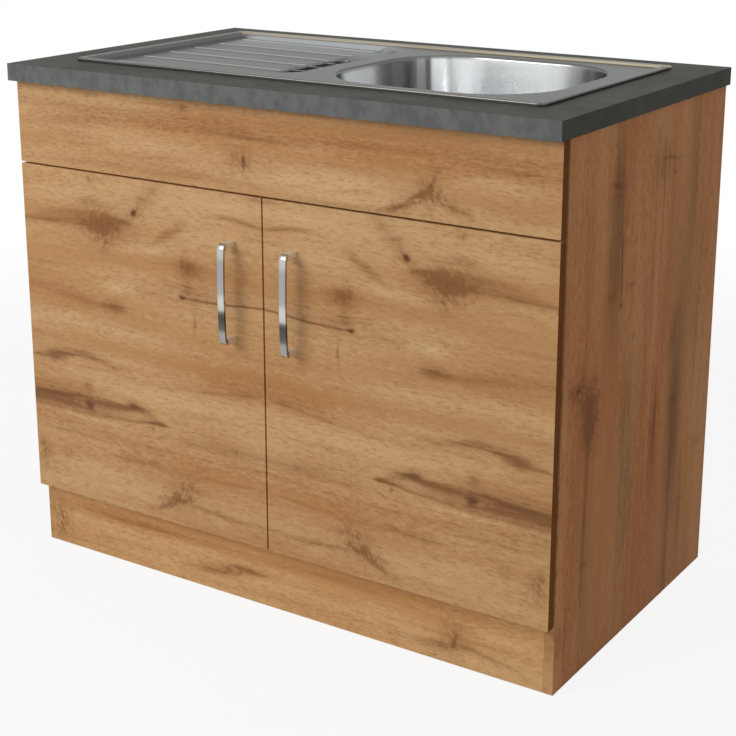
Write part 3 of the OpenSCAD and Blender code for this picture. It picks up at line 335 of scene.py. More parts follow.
# On a side panel the grain runs up: the first number is the height, the second the depth
sideMarks = {
    "depth": 1.35,
    "solid": [
        (640, -80, 92, 1.8, -4, 0.62), (600, -76, 50, 3.2, 0, 0.42), (730, -104, 4, 20, 16, 0.55),
        (690, -216, 62, 1.4, 2, 0.36), (456, -205, 4, 14, -30, 0.60), (565, -112, 9, 13, 0, 0.45),
        (548, -76, 4, 6, 0, 0.55), (572, -39, 3, 14, 0, 0.42), (174, -168, 4, 14, 0, 0.50),
        (122, -213, 6, 7, 0, 0.30), (740, 94, 3, 30, 8, 0.50), (716, 108, 3, 10, -6, 0.46),
        (486, 152, 3, 10, 0, 0.40), (340, 144, 7, 16, 0, 0.42), (149, 174, 2, 26, -4, 0.34),
        (230, 254, 9, 16, 0, 0.38), (562, 254, 3, 16, -8, 0.36), (516, -168, 26, 2.6, -24, 0.34),
    ],
    "along": [
        (400, -166, 50, 16, 0, 0.60), (250, -172, 110, 6, 2, 0.60), (740, -98, 60, 12, 0, 0.40),
        (610, -98, 70, 16, 4, 0.40), (320, 66, 76, 12, 0, 0.66), (450, 128, 34, 11, 10, 0.60),
        (260, 146, 130, 18, 0, 0.66), (330, 144, 60, 12, 0, 0.50), (60, 140, 80, 12, 0, 0.34),
        (404, -42, 50, 20, 0, 0.30), (120, 190, 90, 14, 0, 0.32), (730, 66, 30, 30, 0, 0.30),
        (680, 66, 120, 4, 0, 0.26), (450, 224, 60, 7, 0, 0.26), (80, -240, 30, 16, 0, 0.44),
        (180, -30, 160, 22, 0, 0.24), (560, 30, 160, 18, 0, 0.16), (640, 190, 200, 12, 0, 0.20),
    ],
    "stroke": [
        (408, -158, 46, 26, 0, 0.85), (455, -215, 18, 22, 0, 0.62), (722, -100, 20, 22, 0, 0.42),
        (430, -190, 40, 18, 0, 0.30),
    ],
    "light": [
        (500, -10, 200, 20, 0, 0.25), (420, -240, 90, 12, 0, 0.22), (330, 100, 120, 12, 0, 0.28),
        (330, 200, 100, 12, 0, 0.28),
    ],
    "warm": [
        (600, -30, 300, 60, 0, 0.7), (250, -230, 300, 40, 0, 0.6), (180, 40, 200, 40, 0, 0.8),
        (640, 240, 260, 40, 0, 0.6), (560, -200, 200, 30, 0, 0.5), (420, 90, 260, 24, 0, 0.5),
    ],
    "olive": [
        (660, -98, 150, 24, 0, 1.0), (120, -170, 160, 26, 0, 0.6), (300, -34, 190, 26, 0, 1.0),
        (330, 150, 240, 26, 0, 1.1), (700, 180, 160, 14, 0, 0.55), (420, 224, 200, 12, 0, 0.45),
        (760, 40, 60, 20, 0, 0.35),
    ],
    "bends": [
        (408, -158, 70, 30, 14), (722, -100, 50, 26, 12), (340, 144, 60, 26, 12),
        (565, -112, 40, 22, 10),
    ],
}


def total(parts):
    # adds each part as it is made, which keeps the shader's memory small
    return sum(parts, next(parts))


def reach(tree, spot, along, across, halfLong, halfWide, turn=0):
    # how far a spot is from a mark's middle, in half lengths and half widths
    c, s = math.cos(math.radians(turn)), math.sin(math.radians(turn))
    out = tree.dot(spot, (c / halfLong / mm, s / halfLong / mm, -(c * along + s * across) / halfLong))
    aside = tree.dot(spot, (-s / halfWide / mm, c / halfWide / mm, (s * along - c * across) / halfWide))
    return out, aside


def markField(tree, spot, marks):
    # the sum of soft elliptical marks; spot holds the place along, the place across, and 1
    def parts():
        for *shape, strength in marks:
            out, aside = reach(tree, spot, *shape)
            yield decor["falloff"] ** (out * out + aside * aside) * strength
    return total(parts())


def bendField(tree, spot, bends):
    # how far knots push the grain aside
    def parts():
        for *shape, push in bends:
            out, aside = reach(tree, spot, *shape)
            yield decor["falloff"] ** (out * out + aside * aside) * aside * (push * mm)
    return total(parts())


def veinField(tree, length, width, veins):
    # the sum of long streaks that follow their own curves; a curve holds hundredths of the half width
    def parts():
        for points in veins:
            middle = tree.curve(length, [(along * mm, across * mm) for along, across, _, _ in points])
            half = tree.curve(length, [(along * mm, wide * 0.01) for along, _, wide, _ in points])
            strength = tree.curve(length, [(along * mm, dark) for along, _, _, dark in points])
            aside = (width - middle) / (half * 100 * mm)
            yield decor["falloff"] ** (aside * aside) * strength
    return total(parts())


figure = {
    "warm": {"bands": 0.45, "veins": 0.20, "base": 0.10, "light": 0.5},
    "pale": {"base": 0.434, "bands": 0.63, "mottle": 0.8, "flecks": 1.5},
    "dark": {"veins": 0.30, "fibres": 0.12, "flecks": 0.36, "stroke": 0.75, "browned": 0.86},
    "deep": {"streaks": 0.32, "spots": 0.85, "dark": 0.25, "from": 0.42, "strength": 1.2},
    "fuzz": {"rippleAlong": 0.010, "driftAcross": 0.006, "rippleAcross": 0.005},
    "veinFuzz": {"along": 0.012, "across": 0.0035},
    # the repeats turn the swirls' noise against the grain: length and width, then width and length
    "swirl": {"along": 0.030, "across": 0.020, "ripple": 0.02, "repeats": (150.0, 90.0, 60.0, 40.0)},
    "swirlDepth": 30.0,
    "ruffle": (0.62, 0.76),
    "flame": (0.52, 0.90),
    # between which values of a noise its mask rises
    "steps": {
        "bands": (0.30, 0.72),
        "veins": (0.52, 0.80),
        "fibres": (0.56, 0.85),
        "flecks": (0.50, 0.74),
        "ruffle": (0.34, 0.66),
        "flame": (0.38, 0.62),
    },
}


def mask(value, name):
    return value.step(*figure["steps"][name])


def oakGround(tree, marks, fuzzy, noises, tone):
    # tan and orange bands, olive zones and pale flecks
    warmth, paleness = figure["warm"], figure["pale"]
    warm = warmth["bands"] * tone + warmth["veins"] * (noises["veins"] - 0.5) + warmth["base"]
    if marks:
        bright = markField(tree, fuzzy, marks["light"])
        warm = warm + markField(tree, fuzzy, marks["warm"]) - warmth["light"] * bright
    ground = tree.mix(warm.clip(), decor["tan"], decor["orange"])
    if marks and "olive" in marks:
        ground = tree.mix(markField(tree, fuzzy, marks["olive"]).clip(), ground, decor["olive"])
    pale = paleness["base"] - paleness["bands"] * tone + paleness["mottle"] * (noises["mottle"] - 0.5)
    pale = pale - paleness["flecks"] * (noises["flecks"] - 0.5)
    if marks:
        pale = pale + bright
    return tree.mix(pale.clip(), ground, decor["pale"])


def oakKnots(tree, marks, spots, noises, dark):
    # adds streaks, ragged strokes and knots to the dark grain; deep holds what is nearly black
    length, width, through, fuzzy, ripple = spots
    swirl, veinFuzz = figure["swirl"], figure["veinFuzz"]
    ruffle = figure["ruffle"][0] + figure["ruffle"][1] * mask(noises["veins"], "ruffle")
    alongU, acrossU, acrossV, alongV = swirl["repeats"]
    turn = tree.vector(length * alongU + width * acrossU, width * acrossV - length * alongV, through)
    swirls = tree.split(tree.noise(turn, out=1))
    ragged = tree.vector(
        length + (swirls[0] - 0.5) * swirl["along"] + ripple * swirl["ripple"],
        width + (swirls[1] - 0.5) * swirl["across"], 1.0)
    flame = figure["flame"][0] + figure["flame"][1] * mask(swirls[2], "flame")
    lengthwise = markField(tree, fuzzy, marks["along"])
    deep = 0.0
    if "veins" in marks:
        streaks = veinField(
            tree, length + ripple * veinFuzz["along"], width + ripple * veinFuzz["across"], marks["veins"])
        lengthwise = lengthwise + streaks
        deep = streaks * figure["deep"]["streaks"]
    knots = markField(tree, fuzzy, marks["solid"])
    dark = dark + lengthwise * ruffle * marks["depth"]
    strokes = markField(tree, ragged, marks["stroke"]) * flame * marks["depth"]
    return dark + strokes * figure["dark"]["stroke"] + knots, knots * figure["deep"]["spots"] + deep


def oakFigure(tree, marks, length, width, through, seed):
    # the printed grain; marks is None on a board that shows no knots
    def noise(name, across):
        perLength, perWidth, perDepth, seedShare, detail, rough = decor["noises"][name]
        place = tree.vector(length * perLength, across * perWidth, through * perDepth + seed * seedShare)
        return tree.noise(place, 1.0, detail, rough)

    fuzz, darkness, deepness = figure["fuzz"], figure["dark"], figure["deep"]
    drift = noise("drift", width) - 0.5
    ripple = noise("ripple", width) - 0.5
    fuzzy = tree.vector(
        length + ripple * fuzz["rippleAlong"],
        width + drift * fuzz["driftAcross"] + ripple * fuzz["rippleAcross"], 1.0)
    grain = width + drift * decor["wave"] + ripple * decor["ripple"]
    if marks:
        grain = grain - bendField(tree, tree.vector(length, width, 1.0), marks["bends"])
    noises = {name: noise(name, grain) for name in ("bands", "veins", "fibres", "flecks")}
    noises["mottle"] = noise("mottle", width)
    ground = oakGround(tree, marks, fuzzy, noises, mask(noises["bands"], "bands"))
    dark = total(mask(noises[name], name) * darkness[name] for name in ("veins", "fibres", "flecks"))
    deep = 0.0
    if marks:
        spots = (length, width, through * figure["swirlDepth"] + seed, fuzzy, ripple)
        dark, deep = oakKnots(tree, marks, spots, noises, dark)
    browned = tree.mix(dark.clip() * darkness["browned"], ground, decor["brown"])
    deep = (dark * deepness["dark"] + deep - deepness["from"]).clip() * deepness["strength"]
    return tree.mix(deep, browned, decor["darkest"])


def oak(name, marks, along, across, seed, mirrored=False, paintedLight=None, paintedLightFrom=None, bandFrom=None,
        specular=0.18):
    # along and across name the axes of the grain; the painted light, a tint multiplied in for light and
    # shade, lies behind its starting depth, or everywhere; the edge banding shows beyond bandFrom
    def onBand(axes):
        return abs(axes["x"]).step((bandFrom - decor["softEdge"]) * mm, bandFrom * mm)

    def colour(tree, place):
        axes = tree.axes(place)
        length = abs(axes[along]) if mirrored else axes[along]
        through = next(axes[axis] for axis in "xyz" if axis not in (along, across))
        result = oakFigure(tree, marks, length, axes[across], through, seed)
        # painted light: the colour is multiplied by a tint that lifts or darkens it in place of light and
        # shade
        if paintedLight:
            paintedShare = 1.0
            if paintedLightFrom:
                paintedShare = axes["y"].step(paintedLightFrom * mm, (paintedLightFrom + decor["paintedLightSoft"]) * mm)
            result = tree.mix(paintedShare, result, paintedLight, "MULTIPLY")
        if bandFrom:
            result = tree.mix(onBand(axes), result, decor["edgeBand"])
        return result

    def foil(tree, axes, name):
        perLength, perWidth, detail, rough = decor["foil"][name]
        spot = tree.vector(axes[along] * perLength, axes[across] * perWidth)
        return tree.noise(spot, 1.0, detail, rough)

    def gloss(tree, place):
        # the banded ends are matt
        axes = tree.axes(place)
        parts = decor["gloss"]
        rough = parts["ground"] + parts["streaks"] * foil(tree, axes, "streaks")
        return rough + onBand(axes) * parts["ends"] if bandFrom else rough

    def relief(tree, place):
        # fine pores pressed into the foil
        axes = tree.axes(place)
        parts = decor["relief"]
        pores = foil(tree, axes, "pores")
        grooves = foil(tree, axes, "grooves")
        return parts["pores"] * pores.step(*parts["poreSteps"]) + parts["grooves"] * grooves

    return material(name, colour, gloss, bump=relief, height=decor["poreDepth"] * mm, specular=specular)


oakDoors = oak("oakDoors", doorMarks, "x", "z", 0.37, mirrored=True, bandFrom=495.9)
oakFascia = oak("oakFascia", fasciaMarks, "x", "z", 2.11, bandFrom=495.9)
# painted light: the plinth is lifted against the doors' shadow; the side panels are darkened and reddened
# as painted shade, except on their front edges, which face the light
oakPlinth = oak("oakPlinth", plinthMarks, "x", "z", 5.43, paintedLight=(1.13, 1.15, 1.12, 1.0))
oakSides = oak("oakSides", sideMarks, "z", "y", 8.20, paintedLight=(0.96, 0.74, 0.60, 1.0), paintedLightFrom=-256.4,
               specular=0.04)
oakShelf = oak("oakShelf", None, "x", "y", 3.90)
oakRails = oak("oakRails", None, "x", "z", 4.70)
print("oak made")


# Slate laminate, steel, nickel, rubber, plastic and beech

slate = {
    "ground": tint(70, 70, 63),
    "cloud": tint(58, 59, 53),
    "bloom": tint(88, 89, 83),
    # the front edge's tones, paler and bluer than the top, are painted light
    "edge": tint(118, 120, 118),
    "edgeShade": tint(80, 84, 88),
    "litEdgeFrom": -291.4,
    "litEdgeShare": 0.9,
    "grainDepth": 0.08,
    # repeats in a metre, detail, roughness
    "clouds": (9.0, 5.0, 0.62),
    "grit": (160.0, 3.0, 0.6),
    "fineGrain": (260.0, 4.0, 0.6),
    "coarseGrain": (40.0, 3.0, 0.6),
    # repeats in a metre along, across and up; for the brushed edge along, up and across
    "veil": (30.0, 30.0, 90.0),
    "brush": (45.0, 26.0, 8.0),
    # between which values of a noise its tone rises, and how much of it shows
    "cloudSteps": (0.35, 0.65),
    "veilSteps": (0.5, 0.8),
    "brushSteps": (0.36, 0.66),
    "shares": {"veil": 0.5, "grit": 0.5, "brush": 0.5, "coarseGrain": 0.6},
}


def slateColour(tree, place):
    # cloudy on top; the front edge is brushed and painted paler and bluer than the top, as painted light
    # for the light it catches
    x, y, z = tree.split(place)
    shares = slate["shares"]
    clouds = tree.noise(place, *slate["clouds"])
    grit = tree.noise(place, *slate["grit"])
    veil = tree.noise(tree.stretch(place, *slate["veil"]), 1.0, 4.0, 0.65)
    base = tree.mix(clouds.step(*slate["cloudSteps"]), slate["ground"], slate["cloud"])
    bloom = veil.step(*slate["veilSteps"]) * shares["veil"] + (grit - 0.5) * shares["grit"]
    base = tree.mix(bloom.clip(), base, slate["bloom"])
    spot = tree.vector(*[axis * repeats for axis, repeats in zip((x, z, y), slate["brush"])])
    brushed = tree.noise(spot, 1.0, 4.0, 0.7).step(*slate["brushSteps"])
    edge = tree.mix(brushed * shares["brush"], slate["edge"], slate["edgeShade"])
    return tree.mix((slate["litEdgeFrom"] * mm - y).above(0.0) * slate["litEdgeShare"], base, edge)


def slateRelief(tree, place):
    fine = tree.noise(place, *slate["fineGrain"])
    return fine + slate["shares"]["coarseGrain"] * tree.noise(place, *slate["coarseGrain"])


def cloudy(light, dark, scale):
    return lambda tree, place: tree.mix(tree.noise(place, scale, 3.0).step(0.3, 0.7), light, dark)


def cloudyGloss(low, high, scale):
    return lambda tree, place: low + (high - low) * tree.noise(place, scale, 3.0)


def fineGrain(scale):
    return lambda tree, place: tree.noise(place, scale, 2.0)


def beechColour(tree, place):
    flecks = tree.noise(tree.stretch(place, 60.0, 900.0, 900.0), 1.0, 3.0)
    return tree.mix(flecks.step(0.4, 0.7), tint(218, 186, 140), tint(190, 152, 106))


slateTop = material("slateTop", slateColour, cloudyGloss(0.46, 0.64, 30.0), bump=slateRelief,
                    height=slate["grainDepth"] * mm, specular=0.05)
basketSteel = material("basketSteel", cloudy(tint(196, 196, 194), tint(182, 182, 181), 60.0),
                       cloudyGloss(0.12, 0.2, 90.0), metal=1.0)
nickel = material("nickel", cloudy(tint(196, 194, 188), tint(180, 178, 172), 80.0),
                  cloudyGloss(0.22, 0.34, 160.0), metal=1.0)
rubber = material("rubber", cloudy(tint(34, 34, 35), tint(26, 26, 27), 200.0),
                  cloudyGloss(0.55, 0.7, 300.0), bump=fineGrain(900.0), height=0.05 * mm)
plastic = material("plastic", cloudy(tint(226, 226, 222), tint(218, 218, 214), 50.0),
                   cloudyGloss(0.32, 0.45, 120.0), bump=fineGrain(700.0), height=0.03 * mm)
beech = material("beech", beechColour, cloudyGloss(0.5, 0.65, 200.0))
print("materials made")


# Mesh helpers

def addObject(name, data):
    thing = bpy.data.objects.new(name, data)
    bpy.context.scene.collection.objects.link(thing)
    return thing


def newPiece(name, mesh, finish, body, slot, *replaced):
    mesh.materials.clear()
    mesh.materials.append(finish)
    piece = addObject(name, mesh)
    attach(piece, body)
    if replaced:
        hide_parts(*replaced)


def meshOf(form, name):
    mesh = bpy.data.meshes.new(name)
    form.to_mesh(mesh)
    form.free()
    return mesh


def mergedForm(node):
    # a CAD node's loose triangles, joined
    form = bmesh.new()
    form.from_mesh(nodes[node].data)
    bmesh.ops.remove_doubles(form, verts=form.verts, dist=0.005 * mm)
    return form


def smoothByAngle(mesh, degrees, flatSides=False):
    # sharp edges above the angle, smooth faces elsewhere; a board's sides stay flat
    form = bmesh.new()
    form.from_mesh(mesh)
    limit = math.radians(degrees)
    for face in form.faces:
        face.smooth = not (flatSides and max(abs(part) for part in face.normal) > 0.9999)
    for edge in form.edges:
        edge.smooth = len(edge.link_faces) == 2 and edge.calc_face_angle(0.0) < limit
    form.to_mesh(mesh)
    form.free()


def addBevel(piece, width, steps, degrees):
    bevel = piece.modifiers.new("easedEdge", "BEVEL")
    bevel.width = width * mm
    bevel.segments = steps
    bevel.limit_method = "ANGLE"
    bevel.angle_limit = math.radians(degrees)
    return bevel


def plainMesh(piece):
    # the piece's mesh with its modifiers applied; the piece itself goes
    graph = bpy.context.evaluated_depsgraph_get()
    graph.update()
    mesh = bpy.data.meshes.new_from_object(piece.evaluated_get(graph))
    bpy.data.objects.remove(piece)
    return mesh


# Boards: copies of the CAD boards with eased edges

boards = {
    "easedEdge": 0.6,
    "edgeSteps": 2,
    "edgeAngle": 50,
    "smoothAngle": 35,
    "finishes": [
        (oakDoors, ["door_left", "door_right"]),
        (oakFascia, ["fascia_panel"]),
        (oakPlinth, ["plinth_board"]),
        (oakSides, ["side_panel_left", "side_panel_right"]),
        (oakShelf, ["bottom_panel"]),
        (oakRails, ["front_rail", "rear_top_rail", "rear_bottom_rail"]),
        (slateTop, ["worktop"]),
    ],
}


def dressBoard(node, finish):
    form = mergedForm(node)
    bmesh.ops.dissolve_limit(form, angle_limit=math.radians(0.4), verts=form.verts, edges=form.edges)
    piece = addObject(node + "Board", meshOf(form, node + "Dressed"))
    bevel = addBevel(piece, boards["easedEdge"], boards["edgeSteps"], boards["edgeAngle"])
    bevel.use_clamp_overlap = False
    mesh = plainMesh(piece)
    smoothByAngle(mesh, boards["smoothAngle"], flatSides=True)
    slot = "slate_laminate" if node == "worktop" else "oak_decor"
    newPiece(node + "Board", mesh, finish, bodyOf[node], slot, node)


for finish, names in boards["finishes"]:
    for name in names:
        dressBoard(name, finish)
print("boards dressed")


# Sink: one pressed sheet

sink = {
    "middle": (0.0, 17.0),
    "size": (860.0, 450.0),
    "cornerRadius": 12.0,
    "cornerSteps": 14,
    "worktop": 850.0,
    "borderTop": 855.0,
    "borderWidth": 17.0,
    "borderSlope": 4.0,
    "borderLift": 0.35,
    "borderBends": (3.0, 4.0),
    "bendRadii": (2.0, 1.6),
    # loops close to the bends: below the top, behind the edge, before the ridge, and two on the deck
    "besideBends": (2.2, 3.2, 2.6, 2.4, 3.2),
    "pocketRadius": 3.0,
    "deck": 851.8,
    "sheet": 0.8,
    "smoothAngle": 50,
}
bowl = {
    "middle": (193.0, -5.0),
    "opening": (376.0, 356.0),
    "radius": 120.0,
    "cornerSteps": 24,
    "lip": 5.0,
    "lean": 8.0,
    "floor": 696.8,
    "floorRadius": 30.0,
    "drain": 90.0,
    "drainFall": 0.35,
    "margins": (3.0, 1.2),
    "lipSteps": 8,
    "footSteps": 14,
    "wallRows": (0.03, 0.25, 0.5, 0.75, 0.97),
    "floorRows": (0.02, 0.35, 0.7, 1.0),
    "fade": (2.0, 8.0),
}
drainer = {
    "left": -406.0,
    "right": -34.0,
    "half": 195.0,
    "corner": 58.0,
    "cornerRadius": 6.0,
    "lean": 8.0,
    "depth": 5.0,
    "fall": 3.0,
    "ribs": 6,
    "ribHeight": 1.4,
    "ribHalf": 4.4,
    "ribStart": -384.0,
    "ribEnd": -103.0,
    "ribSide": 170.0,
    "ribLevelAt": -220.0,
    "ribCurve": (2.0, 1.25),
    "ribReach": (3.5, 4.5),
    "gridMargin": 6.0,
    "gridStep": 0.9,
    "gridFine": 9,
    "gridCoarse": 24,
    "gridInset": 8.0,
    # how far outside the ribs' start and inside their end the fine columns begin
    "gridFrom": (4.0, 3.5),
    "gridRows": (-12, -5.2, -4.2, -3.4, -2.6, -1.7, -0.85, 0, 0.85, 1.7, 2.6, 3.4, 4.2, 5.2, 12),
    # the wall: how far in from the edge, and the share of the depth there; the foot's start at the lean
    "wall": ((-2.6, 0.0), (-1.4, 0.0), (-0.7, 0.02), (0.0, 0.12), (0.8, 0.28)),
    "foot": ((-0.9, 0.82), (0.0, 0.95), (1.0, 1.0), (2.4, 1.0)),
}
trough = {
    "middle": (-80.0, -38.0),
    "length": 186.0,
    "width": 26.0,
    "corner": 12.0,
    "depth": 7.0,
    "margin": 3.0,
    # the wall: how much wider than the trough, and how far below the drainer or above the bottom
    "wall": ((1.6, 0.0), (0.9, 0.15), (0.2, 0.7), (0.0, 1.6)),
    "foot": ((-0.2, 1.2), (-0.7, 0.35), (-1.6, 0.0)),
    "slots": 4,
    "slotWidth": 6.0,
    "slotGap": 8.0,
    # where its painted shade fades: beyond its sides, beyond its ends, below the drainer
    "fade": {"sides": (0.3, 1.4), "ends": (-2.0, 2.0), "below": (1.4, 0.2)},
}
bridge = {
    "count": 3,
    "thickness": 2.0,
    "rise": 0.25,
    "side": 0.6,
    "knee": 1.2,
    "upper": (0.5, 0.1, 0.0),
    "lower": (1.2, 0.9, 0.8),
    "smoothAngle": 40,
}
steel = {
    # after the deck's own tones come painted ones: lighter tones for painted sheen and highlights on the
    # drainer's back, the ribs, the back border and the bowl's floor, darker ones for painted shade on the
    # recess's left wall and in the trough, and the two ends of the bowl's painted reflection bands
    "deck": (tint(110, 109, 106), tint(97, 96, 93)),
    "drainerBackSheen": tint(176, 180, 182),
    "ribs": tint(190, 188, 182),
    "creamReflection": tint(176, 165, 142),
    "troughShade": tint(112, 111, 108),
    "leftWallShade": tint(84, 82, 84),
    "bowlReflectionDark": tint(84, 80, 77),
    "bowlReflectionLight": tint(252, 254, 255),
    "bowlFloorSheen": (tint(178, 180, 181), tint(164, 166, 167)),
    "deckEdge": 0.6,
    "tintShare": 0.85,
    "creamReflectionShare": 0.8,
    # repeats in a metre along, across and up
    "hair": (5.0, 800.0, 40.0),
    "hairSteps": (0.3, 0.7),
    # repeats round the bowl and in a metre of height of the fine streaks in the painted reflection
    "streaks": (60.0, 1.5),
    "streakShare": 0.06,
    "gloss": {"repeats": (6.0, 900.0, 60.0), "ground": 0.22, "hair": 0.10, "bowl": 0.06},
    "ribHighlightFade": {"ends": 4.0, "rows": (0.1, 0.2), "sides": (2.0, 4.8)},
    # the painted reflection round the bowl's walls: brightness at each share of a turn
    "bands": [
        (0.0, 0.90), (0.12, 0.95), (0.22, 0.80), (0.29, 0.50), (0.34, 0.42), (0.385, 0.38),
        (0.42, 0.46), (0.456, 0.84), (0.52, 1.0), (0.604, 1.0), (0.611, 0.66), (0.617, 1.0),
        (0.631, 1.0), (0.635, 0.14), (0.640, 0.12), (0.645, 0.44), (0.652, 0.44), (0.657, 0.16),
        (0.70, 0.10), (0.735, 0.28), (0.75, 0.50), (0.79, 0.56), (0.84, 0.60), (0.92, 0.90),
        (1.0, 0.90),
    ],
    # where the zones begin and end, from the object's middle and from the floor
    "zones": {
        "backFrom": (90.0, 205.0),
        "backLeft": (-410.0, -370.0),
        "backRight": (-100.0, -30.0),
        "wallLeft": (-402.0, -388.0),
        "wallTop": (849.5, 851.4),
        "creamReflection": (219.0, 226.0),
        "bowlFloorSheen": (698.0, 726.0),
        "bowlTop": (843.0, 851.2),
    },
}
ribPitch = 2 * drainer["ribSide"] / (drainer["ribs"] - 1)


def fromSink(place):
    # a place on the sink in millimetres as one in the scene
    return [(part + offset) * mm for part, offset in zip(place, sink["middle"])]


def drainerFloor(x):
    run = drainer["right"] - drainer["left"] - 2 * drainer["lean"]
    return sink["deck"] - drainer["depth"] - drainer["fall"] * (x - drainer["left"] - drainer["lean"]) / run


def past(value, zone):
    # 0 before a zone of the sink, 1 after it
    return value.step(*[edge * mm for edge in steel["zones"][zone]])


def sinkColour(tree, place):
    # the deck is brushed along its length; the bowl is polished, and its walls show painted reflections as
    # bands from top to bottom
    x, y, z = tree.split(place)
    hair = tree.noise(tree.stretch(place, *steel["hair"]), 1.0, 3.0).step(*steel["hairSteps"])
    deck = tree.mix(hair, *steel["deck"])
    # painted sheen: the back of the drainer is lighter and bluer
    back = past(y, "backFrom") * past(x, "backLeft") * (1.0 - past(x, "backRight"))
    deck = tree.mix(back * steel["tintShare"], deck, steel["drainerBackSheen"])
    # painted highlight: the ribs, crowns and slopes, are painted lighter than the deck
    deck = tree.mix(onRibs(x, y) * steel["tintShare"], deck, steel["ribs"])
    # painted shade: the left wall of the drainer's recess is painted darker
    deck = tree.mix((1.0 - past(x, "wallLeft")) * (1.0 - past(z, "wallTop")), deck, steel["leftWallShade"])
    # painted reflection: a warm, pale band along the back border
    deck = tree.mix(past(y, "creamReflection") * steel["creamReflectionShare"], deck, steel["creamReflection"])
    # painted shade inside the overflow trough
    deck = tree.mix(inTrough(x, y, z), deck, steel["troughShade"])
    # painted reflection: light and dark bands fixed round the bowl's walls
    bowlX, bowlY = fromSink(bowl["middle"])
    around = (bowlX - x).join("ARCTAN2", y - bowlY) / (2 * math.pi) + 0.5
    perTurn, perHeight = steel["streaks"]
    fine = tree.noise(tree.vector(around * perTurn, z * perHeight), 1.0, 3.0, 0.6) - 0.5
    paintedReflection = (tree.curve(around, steel["bands"]) + fine * steel["streakShare"]).clip()
    wall = tree.mix(paintedReflection, steel["bowlReflectionDark"], steel["bowlReflectionLight"])
    # painted reflection: the bowl's floor is painted much lighter than the deck
    wall = tree.mix(1.0 - past(z, "bowlFloorSheen"), wall, tree.mix(hair, *steel["bowlFloorSheen"]))
    return tree.mix(inBowl(x, y, z), deck, wall)


def onRibs(x, y):
    # 1 on the crown of a rib, 0 between the ribs; it places the painted highlight
    last = (drainer["ribs"] - 1) / 2
    row = (y - sink["middle"][1] * mm) / (ribPitch * mm) + last
    beside = abs(row - row.nearest()) * (ribPitch * mm)
    middle = (drainer["ribStart"] + drainer["ribEnd"]) / 2 * mm
    half = (drainer["ribEnd"] - drainer["ribStart"]) / 2 * mm
    fade = steel["ribHighlightFade"]
    along = 1.0 - abs(x - middle).step(half, half + fade["ends"] * mm)
    inRow = 1.0 - abs(row - last).step(*[last + share for share in fade["rows"]])
    return (1.0 - beside.step(*[side * mm for side in fade["sides"]])) * along * inRow


def inStretch(value, middle, half, start, end):
    # 1 inside a stretch about the middle, fading from start to end beyond its half
    return 1.0 - abs(value - middle).step(half + start * mm, half + end * mm)


def inTrough(x, y, z):
    # 1 inside the overflow trough, where the painted shade goes
    middleX, middleY = fromSink(trough["middle"])
    fade = trough["fade"]
    beside = inStretch(x, middleX, trough["width"] / 2 * mm, *fade["sides"])
    before = inStretch(y, middleY, trough["length"] / 2 * mm, *fade["ends"])
    level = drainerFloor(trough["middle"][0])
    return beside * before * (1.0 - z.step(*[(level - down) * mm for down in fade["below"]]))


def inBowl(x, y, z):
    # 1 inside the bowl, below its rounded edge
    middleX, middleY = fromSink(bowl["middle"])
    halfX, halfY = [size / 2 * mm for size in bowl["opening"]]
    inner = inStretch(x, middleX, halfX, *bowl["fade"]) * inStretch(y, middleY, halfY, *bowl["fade"])
    return inner * (1.0 - past(z, "bowlTop"))


def sinkGloss(tree, place):
    gloss = steel["gloss"]
    hair = tree.noise(tree.stretch(place, *gloss["repeats"]), 1.0, 3.0)
    return gloss["ground"] + gloss["hair"] * hair - gloss["bowl"] * inBowl(*tree.split(place))


brushedSteel = material("brushedSteel", sinkColour, sinkGloss, metal=1.0, edge=steel["deckEdge"])


def arcPoints(middle, radius, start, end, steps):
    turns = [math.radians(start + (end - start) * i / steps) for i in range(steps + 1)]
    return [(middle[0] + radius * math.cos(t), middle[1] + radius * math.sin(t)) for t in turns]


def between(a, b, share):
    return tuple(one + (two - one) * share for one, two in zip(a, b))


def cornerLoop(corners, radius, steps, sides):
    # arcs about the corners' middles, joined by sides of several parts; loops of the same steps match
    points = []
    for index, (middle, start, end) in enumerate(corners):
        corner = arcPoints(middle, radius, start, end, steps)
        nextMiddle, nextStart, _ = corners[(index + 1) % len(corners)]
        following = arcPoints(nextMiddle, radius, nextStart, nextStart, 1)[0]
        points += corner
        for i in range(1, sides):
            points.append(tuple(a + (b - a) * i / sides for a, b in zip(corner[-1], following)))
    return points


def roundedLoop(width, depth, radius, steps, sides=6):
    # a rounded rectangle, anticlockwise
    halfX, halfY = width / 2 - radius, depth / 2 - radius
    turns = [(1, 1, 0), (-1, 1, 90), (-1, -1, 180), (1, -1, 270)]
    corners = [((right * halfX, back * halfY), start, start + 90) for right, back, start in turns]
    return cornerLoop(corners, radius, steps, sides)


def drainerLoop(lean):
    # square at its outer end, slanted towards the bowl
    radius = drainer["cornerRadius"]
    x0 = drainer["left"] + lean + radius
    x1 = drainer["right"] - lean - radius
    y1 = drainer["half"] - lean - radius
    cut = drainer["corner"] - radius / 2
    corners = [
        ((x0, -y1), 180, 270), ((x1 - cut, -y1), 270, 315), ((x1, -y1 + cut), 315, 360),
        ((x1, y1 - cut), 0, 45), ((x1 - cut, y1), 45, 90), ((x0, y1), 90, 180),
    ]
    return cornerLoop(corners, radius, 4, 8)


def inside(point, outline):
    within = False
    for (x0, y0), (x1, y1) in zip(outline, outline[1:] + outline[:1]):
        if (y0 > point.y) != (y1 > point.y) and point.x < (x1 - x0) * (point.y - y0) / (y1 - y0) + x0:
            within = not within
    return within


